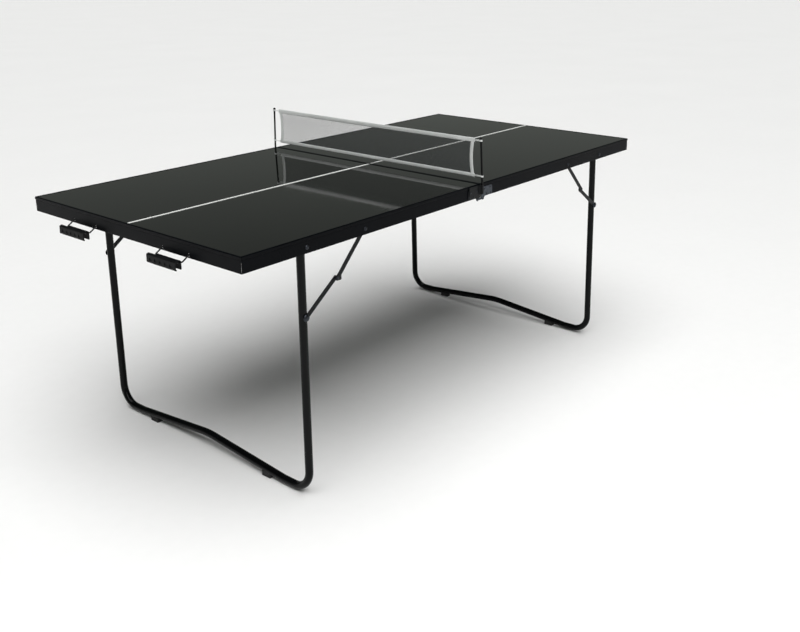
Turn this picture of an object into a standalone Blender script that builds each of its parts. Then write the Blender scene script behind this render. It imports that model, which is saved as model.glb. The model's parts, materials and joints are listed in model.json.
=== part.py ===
"""Folding table tennis table: two framed halves on a double-pivot hinge, U legs with knee braces.

Frame: metres, +Z up. The origin is on the floor under the middle of the table, +X runs along its
length towards the end with the bare carrying bails, and +Y runs across it to the rear.
Half "a" lies at -X and half "b" at +X. Front pieces lie at -Y and rear pieces at +Y.
"""

import math

import bmesh
import bpy
from mathutils import Matrix, Vector

# ---------------------------------------------------------------- driving dimensions
TABLE_LENGTH = 1.830
TABLE_WIDTH = 0.915
TABLE_HEIGHT = 0.732
FRAME_DEPTH = 0.043
CLEARANCE = 0.0003

# Rails: an extrusion with a rounded lip, a ledge for the board and a thin apron.
LIP_WIDTH = 0.0050
LIP_DROP = 0.0086
APRON_OUTER = 0.0010
APRON_INNER = 0.0025
LEDGE_DEPTH = 0.0133
LEDGE_THICKNESS = 0.0015
LEDGE_REACH = 0.0140

# Boards and the strip that joins them along the middle of the table.
BOARD_RECESS = 0.0010
BOARD_THICKNESS = 0.0120
STRIP_WIDTH = 0.0080
STRIP_FLANGE = 0.0007
STRIP_WEB = 0.0015

# Legs: a bent tube on two bolts, with pads under its bottom run.
LEG_PIVOT_FROM_END = 0.206
LEG_PIVOT_DEPTH = 0.027
LEG_TUBE_RADIUS = 0.011
LEG_TUBE_WALL = 0.0012
LEG_HALF_SPAN = 0.431
LEG_SPLAY = math.radians(0.6)
LEG_TOP_STUB = 0.0070
LEG_BEND_RADIUS = 0.060
LEG_LOW_RUN_HEIGHT = 0.0150
LEG_LOW_RUN_END = 0.330
LEG_MIDDLE_HEIGHT = 0.0450
FOOT_PAD_Y = 0.262
FOOT_PAD_SIZE = (0.020, 0.034, 0.0165)

# Knee braces: an upper link on the rail and a lower link on the leg tube.
BRACE_PIVOT_FROM_END = 0.415
BRACE_ON_LEG = 0.190
BRACE_OVER_CENTRE = 0.0011
BRACE_WIDTH = 0.0130
BRACE_THICKNESS = 0.0020
UPPER_LINK_INNER_Y = 0.4503
LOWER_LINK_INNER_Y = 0.4423
STOP_LUG_OFFSET = 0.0090
STOP_LUG_RADIUS = 0.0045

# Middle hinge: brackets on the side rails, joined by link plates under the aprons.
HINGE_HALF_SPACING = 0.0135
HINGE_DROP = 0.0040
HINGE_EAR_RADIUS = 0.0052
BRACKET_LENGTH = 0.056
BRACKET_NEAR = 0.0040
BRACKET_THICKNESS = 0.0018
BRACKET_TOP_DEPTH = 0.0125

# Carrying bails of bent wire, and the moulded clips on the bails of half "a".
BAIL_CENTRE_Y = 0.203
BAIL_HALF_WIDTH = 0.054
BAIL_WIRE_RADIUS = 0.0020
BAIL_BEND_RADIUS = 0.0060
BAIL_HOLE_DEPTH = 0.0350
BAIL_ARM = 0.0605
BAIL_REACH = {"a": 0.0270, "b": 0.0195}
BAIL_DROOP = {"a": math.radians(33.0), "b": math.radians(20.0)}
BAIL_TIP = 0.0090
SLOT_WIDTH = 0.0048
SLOT_HEIGHT = 0.0074
CLIP_LENGTH = 0.118
CLIP_SHIFT = 0.013
CLIP_BARREL_RADIUS = 0.0048
CLIP_BORE_RADIUS = 0.0023
CLIP_OUTER = 0.0145

# Net set: two posts in sockets, a net with taped edges between them.
SOCKET_BORE_RADIUS = 0.0033
SOCKET_RADIUS = 0.0048
SOCKET_HEIGHT = 0.028
SOCKET_TOP_DEPTH = 0.0030
STRAP_THICKNESS = 0.0014
STRAP_OVERLAP = 0.0010
KNOB_RADIUS = 0.0046
POST_RADIUS = 0.0030
POST_ABOVE_TOP = 0.141
POST_LEAN = math.radians(2.5)
NET_BOTTOM_ABOVE_TOP = 0.018
NET_TOP_ABOVE_TOP = 0.138
NET_HALF_WIDTH = 0.436
NET_TAPE_TOP = 0.0130
NET_TAPE_BOTTOM = 0.0110
NET_TAPE_SIDE = 0.0120
NET_TAPE_THICKNESS = 0.0024
NET_CLOTH_THICKNESS = 0.0012

# ---------------------------------------------------------------- worked-out places
HALF_WIDTH = TABLE_WIDTH / 2
HALF_START = CLEARANCE / 2
HALF_END = TABLE_LENGTH / 2
HALF_LENGTH = HALF_END - HALF_START
FRAME_BOTTOM = TABLE_HEIGHT - FRAME_DEPTH
LEG_PIVOT_X = HALF_END - LEG_PIVOT_FROM_END
LEG_PIVOT_Z = TABLE_HEIGHT - LEG_PIVOT_DEPTH
LEG_TUBE_SIDE = LEG_HALF_SPAN + LEG_TUBE_RADIUS
BRACE_PIVOT_X = HALF_END - BRACE_PIVOT_FROM_END
BRACE_SPREAD = LEG_PIVOT_X - BRACE_PIVOT_X
APRON_OUTER_Y = HALF_WIDTH - APRON_OUTER
APRON_INNER_Y = HALF_WIDTH - APRON_INNER
UPPER_LINK_OUTER_Y = UPPER_LINK_INNER_Y + BRACE_THICKNESS
LOWER_LINK_OUTER_Y = LOWER_LINK_INNER_Y + BRACE_THICKNESS
HINGE_Z = FRAME_BOTTOM - HINGE_DROP
BRACKET_INNER_Y = APRON_OUTER_Y + CLEARANCE
BRACKET_OUTER_Y = BRACKET_INNER_Y + BRACKET_THICKNESS
POST_Y = BRACKET_OUTER_Y + CLEARANCE + STRAP_THICKNESS + SOCKET_RADIUS
BAIL_HOLE_X = HALF_END - (APRON_OUTER + APRON_INNER) / 2
BAIL_HOLE_Z = TABLE_HEIGHT - BAIL_HOLE_DEPTH
CLIP_AXIS_X = BAIL_HOLE_X + BAIL_REACH["a"] * math.cos(BAIL_DROOP["a"])
CLIP_AXIS_Z = BAIL_HOLE_Z - BAIL_REACH["a"] * math.sin(BAIL_DROOP["a"])
SIDE = {"a": -1, "b": 1}
EDGE = {"front": -1, "rear": 1}


# ---------------------------------------------------------------- scene and materials
def clear_scene():
    """Remove every object, so that the model starts from nothing."""
    for old in list(bpy.data.objects):
        bpy.data.objects.remove(old, do_unlink=True)


def new_collection(name):
    """Return a new collection in the scene."""
    made = bpy.data.collections.new(name)
    bpy.context.scene.collection.children.link(made)
    return made


def new_material(name, colour, roughness, metallic=0.0):
    """Return a Principled material of one colour, given as linear red, green and blue."""
    made = bpy.data.materials.new(name)
    made.use_nodes = True
    shader = made.node_tree.nodes["Principled BSDF"]
    shader.inputs["Base Color"].default_value = (*colour, 1.0)
    shader.inputs["Roughness"].default_value = roughness
    shader.inputs["Metallic"].default_value = metallic
    return made


clear_scene()
MODEL = new_collection("folding_table_tennis_table")
GUIDES = new_collection("guides")

BLACK_ALUMINIUM = new_material("black_aluminium", (0.010, 0.011, 0.013), 0.35, 0.6)
GLOSS_BOARD = new_material("gloss_board", (0.012, 0.014, 0.012), 0.12)
WHITE_STRIP = new_material("white_strip", (0.78, 0.79, 0.77), 0.35)
BLACK_STEEL = new_material("black_steel", (0.006, 0.006, 0.007), 0.30, 0.3)
DARK_ZINC = new_material("dark_zinc", (0.05, 0.05, 0.055), 0.40, 0.9)
BLACK_PLASTIC = new_material("black_plastic", (0.008, 0.008, 0.008), 0.45)
NET_WHITE = new_material("net_white", (0.75, 0.77, 0.76), 0.80)
NET_THREAD = new_material("net_thread", (0.10, 0.11, 0.11), 0.90)


# ---------------------------------------------------------------- making shapes
def link(piece, collection=None):
    """Put an object in the model's collection, or in the one given."""
    (collection or MODEL).objects.link(piece)
    return piece


def adopted():
    """Return the primitive that was just added, moved to the model's collection."""
    piece = bpy.context.active_object
    for owner in piece.users_collection:
        owner.objects.unlink(piece)
    return link(piece)


def evaluated_mesh(piece):
    """Return a new mesh with an object's modifiers or curve worked out."""
    bpy.context.view_layer.update()
    graph = bpy.context.evaluated_depsgraph_get()
    return bpy.data.meshes.new_from_object(piece.evaluated_get(graph))


def as_mesh(piece, weld=1e-6):
    """Turn a curve or a modified object into a plain, welded mesh object."""
    name = piece.name
    mesh = evaluated_mesh(piece)
    shape = bmesh.new()
    shape.from_mesh(mesh)
    bmesh.ops.remove_doubles(shape, verts=shape.verts, dist=weld)
    shape.to_mesh(mesh)
    shape.free()
    place = piece.matrix_world.copy()
    bpy.data.objects.remove(piece, do_unlink=True)
    made = link(bpy.data.objects.new(name, mesh))
    mesh.name = name
    made.matrix_world = place
    return made


def circle(centre, radius, sides):
    """Return the points of a circle as (x, y) pairs."""
    turn = 2 * math.pi / sides
    return [
        (centre[0] + radius * math.cos(step * turn), centre[1] + radius * math.sin(step * turn))
        for step in range(sides)
    ]


def arc(centre, radius, first, last, steps):
    """Return the points of an arc from one angle in degrees to another."""
    points = []
    for step in range(steps + 1):
        angle = math.radians(first + (last - first) * step / steps)
        points.append((centre[0] + radius * math.cos(angle), centre[1] + radius * math.sin(angle)))
    return points


def extruded(name, outline, thickness, holes=()):
    """Make a flat outline, with any holes, into a plate that is centred on its own XY plane."""
    curve = bpy.data.curves.new(name, "CURVE")
    curve.dimensions = "2D"
    curve.fill_mode = "BOTH"
    curve.extrude = thickness / 2
    for ring in (outline, *holes):
        spline = curve.splines.new("POLY")
        spline.points.add(len(ring) - 1)
        for point, (x, y) in zip(spline.points, ring):
            point.co = (x, y, 0.0, 1.0)
        spline.use_cyclic_u = True
    return as_mesh(link(bpy.data.objects.new(name, curve)))


def turned(name, profile, sides=16):
    """Turn a profile of (radius, height) points, which runs down its outer side, about Z."""
    mesh = bpy.data.meshes.new(name)
    closed = profile[0][0] > 0
    edges = [(index, index + 1) for index in range(len(profile) - 1)]
    if closed:
        edges.append((len(profile) - 1, 0))
    mesh.from_pydata([(radius, 0.0, height) for radius, height in profile], edges, [])
    piece = link(bpy.data.objects.new(name, mesh))
    screw = piece.modifiers.new("turn", "SCREW")
    screw.steps = sides
    screw.render_steps = sides
    screw.use_merge_vertices = True
    screw.merge_threshold = 0.00001
    return as_mesh(piece)


def wire(name, points, radius, resolution, capped=True):
    """Sweep a round wire or tube along a route of points."""
    curve = bpy.data.curves.new(name, "CURVE")
    curve.dimensions = "3D"
    curve.bevel_depth = radius
    curve.bevel_resolution = resolution
    curve.use_fill_caps = capped
    curve.twist_mode = "MINIMUM"
    spline = curve.splines.new("POLY")
    spline.points.add(len(points) - 1)
    for point, place in zip(spline.points, points):
        point.co = (*place, 1.0)
    return as_mesh(link(bpy.data.objects.new(name, curve)))


def block(name, low, high, bevel=0.0):
    """Make a box between two corners, with its edges bevelled if asked."""
    bpy.ops.mesh.primitive_cube_add(size=1.0)
    piece = adopted()
    piece.name = name
    middle = [(a + b) / 2 for a, b in zip(low, high)]
    size = [b - a for a, b in zip(low, high)]
    piece.data.transform(Matrix.Diagonal((*size, 1.0)))
    piece.location = middle
    if bevel:
        rounding = piece.modifiers.new("rounded_edges", "BEVEL")
        rounding.width = bevel
        rounding.segments = 2
    return piece


def rounded_route(corners, radius, steps):
    """Return a route through the corners, with each inner corner bent to a radius."""
    route = [Vector(corners[0])]
    for before, corner, after in zip(corners, corners[1:], corners[2:]):
        here = Vector(corner)
        back = (Vector(before) - here).normalized()
        ahead = (Vector(after) - here).normalized()
        half_angle = back.angle(ahead) / 2
        reach = radius / math.tan(half_angle)
        centre = here + (back + ahead).normalized() * (radius / math.sin(half_angle))
        start = (here + back * reach - centre).normalized()
        finish = (here + ahead * reach - centre).normalized()
        for step in range(steps + 1):
            route.append(centre + start.slerp(finish, step / steps) * radius)
    route.append(Vector(corners[-1]))
    return route


def axes(right, up, out, origin):
    """Return the matrix that stands a shape's own X, Y and Z along three directions."""
    turn = Matrix((right, up, out)).transposed().to_4x4()
    return Matrix.Translation(origin) @ turn


# ---------------------------------------------------------------- assembling
def pivot(name, place, angle=0.0):
    """Add an empty on a joint's axis, which runs along Y, turned by an angle about it."""
    empty = bpy.data.objects.new(name, None)
    empty.matrix_world = Matrix.Translation(place) @ Matrix.Rotation(angle, 4, "Y")
    return link(empty)


def fasten(piece, material, parent=None, smooth=False):
    """Give a finished piece its material, its shading and the empty it moves with."""
    piece.data.materials.clear()
    piece.data.materials.append(material)
    if smooth:
        piece.data.shade_smooth()
        piece.data.set_sharp_from_angle(angle=math.radians(35))
    if parent:
        bpy.context.view_layer.update()
        place = piece.matrix_world.copy()
        piece.parent = parent
        piece.matrix_parent_inverse = parent.matrix_world.inverted()
        piece.matrix_world = place
    return piece


def gather(name, pieces):
    """Put several cutters into one object."""
    bpy.context.view_layer.update()
    joined = bmesh.new()
    for piece in pieces:
        mesh = evaluated_mesh(piece)
        mesh.transform(piece.matrix_world)
        joined.from_mesh(mesh)
        bpy.data.meshes.remove(mesh)
    for piece in pieces:
        bpy.data.objects.remove(piece, do_unlink=True)
    mesh = bpy.data.meshes.new(name)
    joined.to_mesh(mesh)
    joined.free()
    return link(bpy.data.objects.new(name, mesh))


def guide(piece):
    """Move an object to the guides' collection, where nothing of it shows or counts."""
    MODEL.objects.unlink(piece)
    link(piece, GUIDES)
    piece.hide_render = True
    piece.display_type = "WIRE"
    return piece


def combine(piece, other, operation):
    """Add a Boolean that cuts another object out of a piece, or joins it on."""
    boolean = piece.modifiers.new(operation.lower(), "BOOLEAN")
    boolean.operation = operation
    boolean.object = guide(other)
    return piece


def cut(piece, cutters):
    """Subtract the cutters, gathered into one guide, from a piece."""
    return combine(piece, gather(piece.name + "_cutter", cutters), "DIFFERENCE")


def join(piece, other):
    """Join another shape on to a piece, as one solid."""
    other.name = piece.name + "_addition"
    return combine(piece, other, "UNION")


def drill(radius, length, place, direction, sides=12):
    """Return a cylinder that cuts a round hole along a direction."""
    bpy.ops.mesh.primitive_cylinder_add(vertices=sides, radius=radius, depth=length)
    bit = adopted()
    turn = Vector(direction).to_track_quat("Z", "Y").to_matrix().to_4x4()
    bit.matrix_world = Matrix.Translation(place) @ turn
    return bit


# ---------------------------------------------------------------- frame of one half
def rail_section():
    """Return the rail's section: X runs inwards from its outer face and Y up from its top."""
    ledge_foot = -LEDGE_DEPTH - LEDGE_THICKNESS
    return [
        *arc((0.0022, -0.0022), 0.0022, 180, 90, 3),
        (LIP_WIDTH - 0.0006, 0.0),
        (LIP_WIDTH, -0.0006),
        (LIP_WIDTH, -LEDGE_DEPTH),
        (LEDGE_REACH, -LEDGE_DEPTH),
        (LEDGE_REACH, ledge_foot),
        (APRON_INNER, ledge_foot),
        (APRON_INNER, -FRAME_DEPTH),
        (APRON_OUTER, -FRAME_DEPTH),
        (APRON_OUTER, -LIP_DROP),
        (0.0, -LIP_DROP + 0.0012),
    ]


def rail(name, length, middle, inward):
    """Make one rail, mitred at both ends, with its outer face at the middle point."""
    bar = extruded(name, rail_section(), length - 2 * CLEARANCE)
    for vertex in bar.data.vertices:
        vertex.co.z -= math.copysign(vertex.co.x, vertex.co.z)
    bar.matrix_world = axes(inward, (0, 0, 1), Vector(inward).cross((0, 0, 1)), middle)
    return bar


def side_rail(half, edge_name):
    """Make the front or rear rail of a half, with its bolt, brace, hinge and screw holes."""
    side, edge = SIDE[half], EDGE[edge_name]
    middle = (side * (HALF_START + HALF_LENGTH / 2), edge * HALF_WIDTH, TABLE_HEIGHT)
    bar = rail(f"{edge_name}_rail_{half}", HALF_LENGTH, middle, (0, -edge, 0))
    wall_y = edge * (APRON_OUTER_Y + APRON_INNER_Y) / 2
    holes = [
        (LEG_PIVOT_X, LEG_PIVOT_Z, 0.0033),
        (BRACE_PIVOT_X, LEG_PIVOT_Z, 0.0033),
    ]
    bits = [drill(radius, 0.006, (side * x, wall_y, z), (0, 1, 0)) for x, z, radius in holes]
    return fasten(cut(bar, bits), BLACK_ALUMINIUM)


def end_rail(half):
    """Make the rail at the outer end of a half, with the slots that the bail wires pass."""
    side = SIDE[half]
    bar = rail(f"end_rail_{half}", TABLE_WIDTH, (side * HALF_END, 0, TABLE_HEIGHT), (-side, 0, 0))
    bits = []
    for edge in EDGE.values():
        for arm in (-1, 1):
            y = edge * BAIL_CENTRE_Y + arm * BAIL_HALF_WIDTH
            low = (side * BAIL_HOLE_X - 0.003, y - SLOT_WIDTH / 2, BAIL_HOLE_Z - SLOT_HEIGHT / 2)
            high = (side * BAIL_HOLE_X + 0.003, y + SLOT_WIDTH / 2, BAIL_HOLE_Z + SLOT_HEIGHT / 2)
            bits.append(block("slot", low, high))
    return fasten(cut(bar, bits), BLACK_ALUMINIUM)


def middle_rail(half):
    """Make the rail of a half that faces the other half."""
    side = SIDE[half]
    place = (side * HALF_START, 0, TABLE_HEIGHT)
    bar = rail(f"middle_rail_{half}", TABLE_WIDTH, place, (side, 0, 0))
    return fasten(bar, BLACK_ALUMINIUM)


def board(half, edge_name):
    """Make one of the two boards of a half, which lies on the ledge and against the strip."""
    side, edge = SIDE[half], EDGE[edge_name]
    inset = LIP_WIDTH + CLEARANCE
    near = side * (HALF_START + inset)
    far = side * (HALF_END - inset)
    inner = edge * (STRIP_WEB / 2 + CLEARANCE)
    outer = edge * (HALF_WIDTH - inset)
    top = TABLE_HEIGHT - BOARD_RECESS
    low = (min(near, far), min(inner, outer), top - BOARD_THICKNESS)
    high = (max(near, far), max(inner, outer), top)
    return fasten(block(f"{edge_name}_board_{half}", low, high), GLOSS_BOARD)


def centre_strip(half):
    """Make the H-shaped strip between a half's boards, whose flanges show on both faces."""
    side = SIDE[half]
    wide, web = STRIP_WIDTH / 2, STRIP_WEB / 2
    top, foot = TABLE_HEIGHT, TABLE_HEIGHT - LEDGE_DEPTH - STRIP_FLANGE
    inset = LIP_WIDTH + CLEARANCE
    ends = sorted((side * (HALF_START + inset), side * (HALF_END - inset)))
    bar = block(f"centre_strip_{half}", (ends[0], -wide, foot), (ends[1], wide, top))
    spare = 0.010
    bits = []
    for edge in EDGE.values():
        flank = sorted((edge * web, edge * (wide + spare)))
        bits.append(block(
            "channel", (ends[0] - spare, flank[0], foot + STRIP_FLANGE),
            (ends[1] + spare, flank[1], top - STRIP_FLANGE),
        ))
    reach = LEDGE_REACH - LIP_WIDTH
    for end, way in zip(ends, (1, -1)):
        notch = sorted((end - way * spare, end + way * reach))
        low = (notch[0], -STRIP_WIDTH, foot - spare)
        high = (notch[1], STRIP_WIDTH, TABLE_HEIGHT - LEDGE_DEPTH + CLEARANCE)
        bits.append(block("notch", low, high))
    for bit in bits:
        combine(bar, bit, "DIFFERENCE")
    return fasten(bar, WHITE_STRIP)


# ---------------------------------------------------------------- turned fasteners
def out_through(name, edge, x, z, profile, sides=14):
    """Turn a piece whose profile heights are distances from the table's middle plane."""
    piece = turned(name, profile, sides)
    piece.matrix_world = Matrix.Translation((x, 0, z)) @ Matrix.Rotation(math.radians(-90 * edge), 4, "X")
    return piece


def leg_pivot_pins(half):
    """Make the two shouldered pins that a leg turns on, each closed over inside the tube."""
    shank, head, shoulder, tail = 0.0030, 0.0062, 0.0052, 0.0048
    seat = APRON_OUTER_Y + CLEARANCE
    tail_top = LEG_HALF_SPAN + 0.0078
    profile = [
        (0.0, seat + 0.0034), (head * 0.6, seat + 0.0029), (head * 0.95, seat + 0.0014), (head, seat),
        (shank, seat), (shank, APRON_INNER_Y - CLEARANCE), (shoulder, APRON_INNER_Y - CLEARANCE),
        (shoulder, LEG_TUBE_SIDE + CLEARANCE), (shank, LEG_TUBE_SIDE + CLEARANCE), (shank, tail_top),
        (tail, tail_top), (tail * 0.8, tail_top - 0.0030), (0.0, tail_top - 0.0034),
    ]
    for edge_name, edge in EDGE.items():
        name = f"leg_pin_{edge_name}_{half}"
        pin = out_through(name, edge, SIDE[half] * LEG_PIVOT_X, LEG_PIVOT_Z, profile)
        fasten(pin, DARK_ZINC, smooth=True)


def brace_rivets(half):
    """Make the rivets that the upper brace links turn on, each with a collar behind the apron."""
    shank, head, collar = 0.0027, 0.0055, 0.0062
    seat = APRON_OUTER_Y + CLEARANCE
    inner_seat = UPPER_LINK_INNER_Y - CLEARANCE
    far, near = APRON_INNER_Y - CLEARANCE, UPPER_LINK_OUTER_Y + CLEARANCE
    profile = [
        (0.0, seat + 0.0024), (head * 0.6, seat + 0.0021), (head, seat + 0.0008), (head, seat),
        (shank, seat), (shank, far), (collar, far), (collar, near), (shank, near), (shank, inner_seat),
        (head - 0.0008, inner_seat), (head - 0.0012, inner_seat - 0.0010), (0.0, inner_seat - 0.0012),
    ]
    for edge_name, edge in EDGE.items():
        name = f"brace_rivet_{edge_name}_{half}"
        rivet = out_through(name, edge, SIDE[half] * BRACE_PIVOT_X, LEG_PIVOT_Z, profile)
        fasten(rivet, DARK_ZINC, smooth=True)


# ---------------------------------------------------------------- leg of one half
def leg_matrix(half):
    """Return the leg's frame: its origin on the pivot axis and its -Z down the tube."""
    side = SIDE[half]
    turn = Matrix.Rotation(-side * LEG_SPLAY, 4, "Y")
    return Matrix.Translation((side * LEG_PIVOT_X, 0, LEG_PIVOT_Z)) @ turn


def leg_route():
    """Return the middle line of the leg tube, in the leg's frame, with its raised middle."""
    floor = -LEG_PIVOT_Z
    low = floor + LEG_LOW_RUN_HEIGHT
    hump = floor + LEG_MIDDLE_HEIGHT
    y, run = LEG_HALF_SPAN, LEG_LOW_RUN_END
    down = rounded_route(
        [(0, -y, LEG_TOP_STUB), (0, -y, low), (0, -run, low)], LEG_BEND_RADIUS, 7
    )
    slope = rounded_route([(0, -run, low), (0, 0, hump), (0, run, low)], 0.300, 4)
    up = [Vector((0, -point.y, point.z)) for point in reversed(down)]
    return down + slope[1:-1] + up


def leg_tube(half, parent):
    """Make the bent leg tube, hollow and open at its top ends, with its pivot and brace holes."""
    tube = wire(f"leg_tube_{half}", leg_route(), LEG_TUBE_RADIUS, 6, capped=False)
    matrix = leg_matrix(half)
    tube.matrix_world = matrix
    wall = tube.modifiers.new("wall", "SOLIDIFY")
    wall.thickness = LEG_TUBE_WALL
    wall.offset = -1.0
    bits = []
    for edge in EDGE.values():
        for drop in (0.0, BRACE_ON_LEG):
            place = matrix @ Vector((0, edge * (LEG_TUBE_SIDE - 0.002), -drop))
            bits.append(drill(0.0033, 0.008, place, (0, 1, 0), 10))
    return fasten(cut(tube, bits), BLACK_STEEL, parent, smooth=True)


def foot_pads(half, parent):
    """Make the two pads that the bottom run stands on, each hollowed to cradle the tube."""
    side = SIDE[half]
    wide, long, tall = FOOT_PAD_SIZE
    foot_x = side * (LEG_PIVOT_X + LEG_PIVOT_Z * math.tan(LEG_SPLAY))
    for edge_name, edge in EDGE.items():
        low = (foot_x - wide / 2, edge * FOOT_PAD_Y - long / 2, 0.0)
        high = (foot_x + wide / 2, edge * FOOT_PAD_Y + long / 2, tall)
        pad = block(f"foot_pad_{edge_name}_{half}", low, high)
        bit = wire("cradle", leg_route(), LEG_TUBE_RADIUS + CLEARANCE, 6)
        bit.matrix_world = leg_matrix(half)
        fasten(cut(pad, [bit]), BLACK_PLASTIC, parent)


def brace_studs(half, parent):
    """Make the domed studs on the leg tube that the lower brace links turn on."""
    shank, dome = 0.0027, 0.0100
    seat = LOWER_LINK_OUTER_Y + CLEARANCE
    tip = LEG_HALF_SPAN + 0.0060
    profile = [
        (0.0, seat + 0.0049), (dome * 0.35, seat + 0.0045), (dome * 0.70, seat + 0.0032),
        (dome * 0.95, seat + 0.0013), (dome, seat), (shank, seat), (shank, tip), (0.0, tip),
    ]
    place = leg_matrix(half) @ Vector((0, 0, -BRACE_ON_LEG))
    for edge_name, edge in EDGE.items():
        stud = out_through(f"brace_stud_{edge_name}_{half}", edge, place.x, place.z, profile, 18)
        fasten(stud, DARK_ZINC, parent, smooth=True)


# ---------------------------------------------------------------- knee braces
def brace_lengths():
    """Return the upper and lower link lengths, which fold flat and lock past straight."""
    foot_in, foot_down = -BRACE_ON_LEG * math.sin(LEG_SPLAY), BRACE_ON_LEG * math.cos(LEG_SPLAY)
    straight = math.hypot(BRACE_SPREAD - foot_in, foot_down)
    total = straight + BRACE_OVER_CENTRE
    folded_gap = BRACE_SPREAD - BRACE_ON_LEG
    return (total + folded_gap) / 2, (total - folded_gap) / 2


def brace_points(half):
    """Return the rail pivot, knee and leg pivot of a brace as points in the XZ plane."""
    side = SIDE[half]
    top = Vector((side * BRACE_PIVOT_X, LEG_PIVOT_Z))
    place = leg_matrix(half) @ Vector((0, 0, -BRACE_ON_LEG))
    bottom = Vector((place.x, place.z))
    upper, lower = brace_lengths()
    between = bottom - top
    along = (upper ** 2 - lower ** 2 + between.length_squared) / (2 * between.length)
    offset = math.sqrt(upper ** 2 - along ** 2)
    direction = between.normalized()
    downward = Vector((-side * abs(direction.y), -abs(direction.x)))
    return top, top + direction * along + downward * offset, bottom


def link_plate(name, start, finish, layer, edge, lug=0):
    """Make a flat link between two points of the XZ plane, with an eye at each end."""
    span = finish - start
    length, half_wide = span.length, BRACE_WIDTH / 2
    outline = [*arc((0, 0), half_wide, 90, 270, 8)]
    if lug:
        outline += [(length - 0.014, -half_wide)]
        outline += arc((length - 0.005, -STOP_LUG_OFFSET), STOP_LUG_RADIUS, 200, 340, 5)
    outline += arc((length, 0), half_wide, -40 if lug else -90, 90, 8)
    if lug < 0:
        outline = [(x, -y) for x, y in reversed(outline)]
    eyes = [circle((0, 0), 0.0030, 10), circle((length, 0), 0.0030, 10)]
    plate = extruded(name, outline, BRACE_THICKNESS, eyes)
    right = Vector((span.x, 0, span.y)).normalized()
    out = Vector((0, 1, 0))
    middle = edge * (layer + BRACE_THICKNESS / 2)
    plate.matrix_world = axes(right, out.cross(right), out, (start.x, middle, start.y))
    return plate


def braces(half, upper_pivot, lower_pivot):
    """Make the front and rear braces of a half, with their knee rivets."""
    side = SIDE[half]
    top, knee, bottom = brace_points(half)
    shank, collar, head = 0.0026, 0.0045, 0.0052
    outer_seat = UPPER_LINK_OUTER_Y + CLEARANCE
    profile = [
        (0.0, outer_seat + 0.0013), (head - 0.0012, outer_seat + 0.0010), (head, outer_seat),
        (shank, outer_seat), (shank, UPPER_LINK_INNER_Y - CLEARANCE),
        (collar, UPPER_LINK_INNER_Y - CLEARANCE), (collar, LOWER_LINK_OUTER_Y + CLEARANCE),
        (0.0, LOWER_LINK_OUTER_Y + CLEARANCE),
    ]
    for edge_name, edge in EDGE.items():
        upper = link_plate(
            f"upper_link_{edge_name}_{half}", top, knee, UPPER_LINK_INNER_Y, edge, -side
        )
        lower = link_plate(
            f"lower_link_{edge_name}_{half}", knee, bottom, LOWER_LINK_INNER_Y, edge
        )
        fasten(upper, BLACK_STEEL, upper_pivot)
        fasten(lower, BLACK_STEEL, lower_pivot)
        rivet = out_through(f"knee_rivet_{edge_name}_{half}", edge, knee.x, knee.y, profile)
        fasten(rivet, DARK_ZINC, upper_pivot, smooth=True)


# ---------------------------------------------------------------- middle hinge
def hinge_bracket(half, edge_name, parent):
    """Make one plate on a side rail, whose ear holds a hinge pin; half "a" has a post socket too."""
    side, edge = SIDE[half], EDGE[edge_name]
    near, far = BRACKET_NEAR, BRACKET_NEAR + BRACKET_LENGTH
    top, foot = -BRACKET_TOP_DEPTH, -FRAME_DEPTH
    pin = (HINGE_HALF_SPACING, -FRAME_DEPTH - HINGE_DROP)
    ear = HINGE_EAR_RADIUS
    outline = [
        (far - 0.003, top), (near + 0.002, top), (near, top - 0.002), (near, foot + 0.004),
        *arc(pin, ear, 170, 370, 10), (pin[0] + ear + 0.005, foot + 0.001), (far - 0.002, foot + 0.001),
        (far, foot + 0.003), (far, top - 0.003),
    ]
    plate = extruded(
        f"hinge_bracket_{edge_name}_{half}", [(side * x, y) for x, y in outline], BRACKET_THICKNESS,
        [[(side * x, y) for x, y in circle(pin, 0.0027, 10)]],
    )
    middle = edge * (BRACKET_INNER_Y + BRACKET_THICKNESS / 2)
    plate.matrix_world = axes((1, 0, 0), (0, 0, 1), (0, -1, 0), (0, middle, TABLE_HEIGHT))
    if half == "a":
        join(plate, net_socket(edge_name))
    return fasten(plate, BLACK_STEEL, parent)


def net_socket(edge_name):
    """Return a post socket: a short tube with the strap that welds it to a hinge bracket."""
    edge = EDGE[edge_name]
    face = -SOCKET_RADIUS
    back = face - STRAP_THICKNESS - STRAP_OVERLAP
    outline = [
        *arc((0, 0), SOCKET_RADIUS, -60, 200, 14), (-0.0080, face), (-BRACKET_LENGTH, face),
        (-BRACKET_LENGTH, back), (-BRACKET_NEAR - 0.004, back), (-BRACKET_NEAR - 0.002, face - 0.0010),
        (SOCKET_RADIUS * 0.5, face - 0.0010),
    ]
    points = [(x, edge * y) for x, y in outline]
    socket = extruded("net_socket", points, SOCKET_HEIGHT, [circle((0, 0), SOCKET_BORE_RADIUS, 14)])
    socket.location = (0, edge * POST_Y, TABLE_HEIGHT - SOCKET_TOP_DEPTH - SOCKET_HEIGHT / 2)
    return socket


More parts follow.
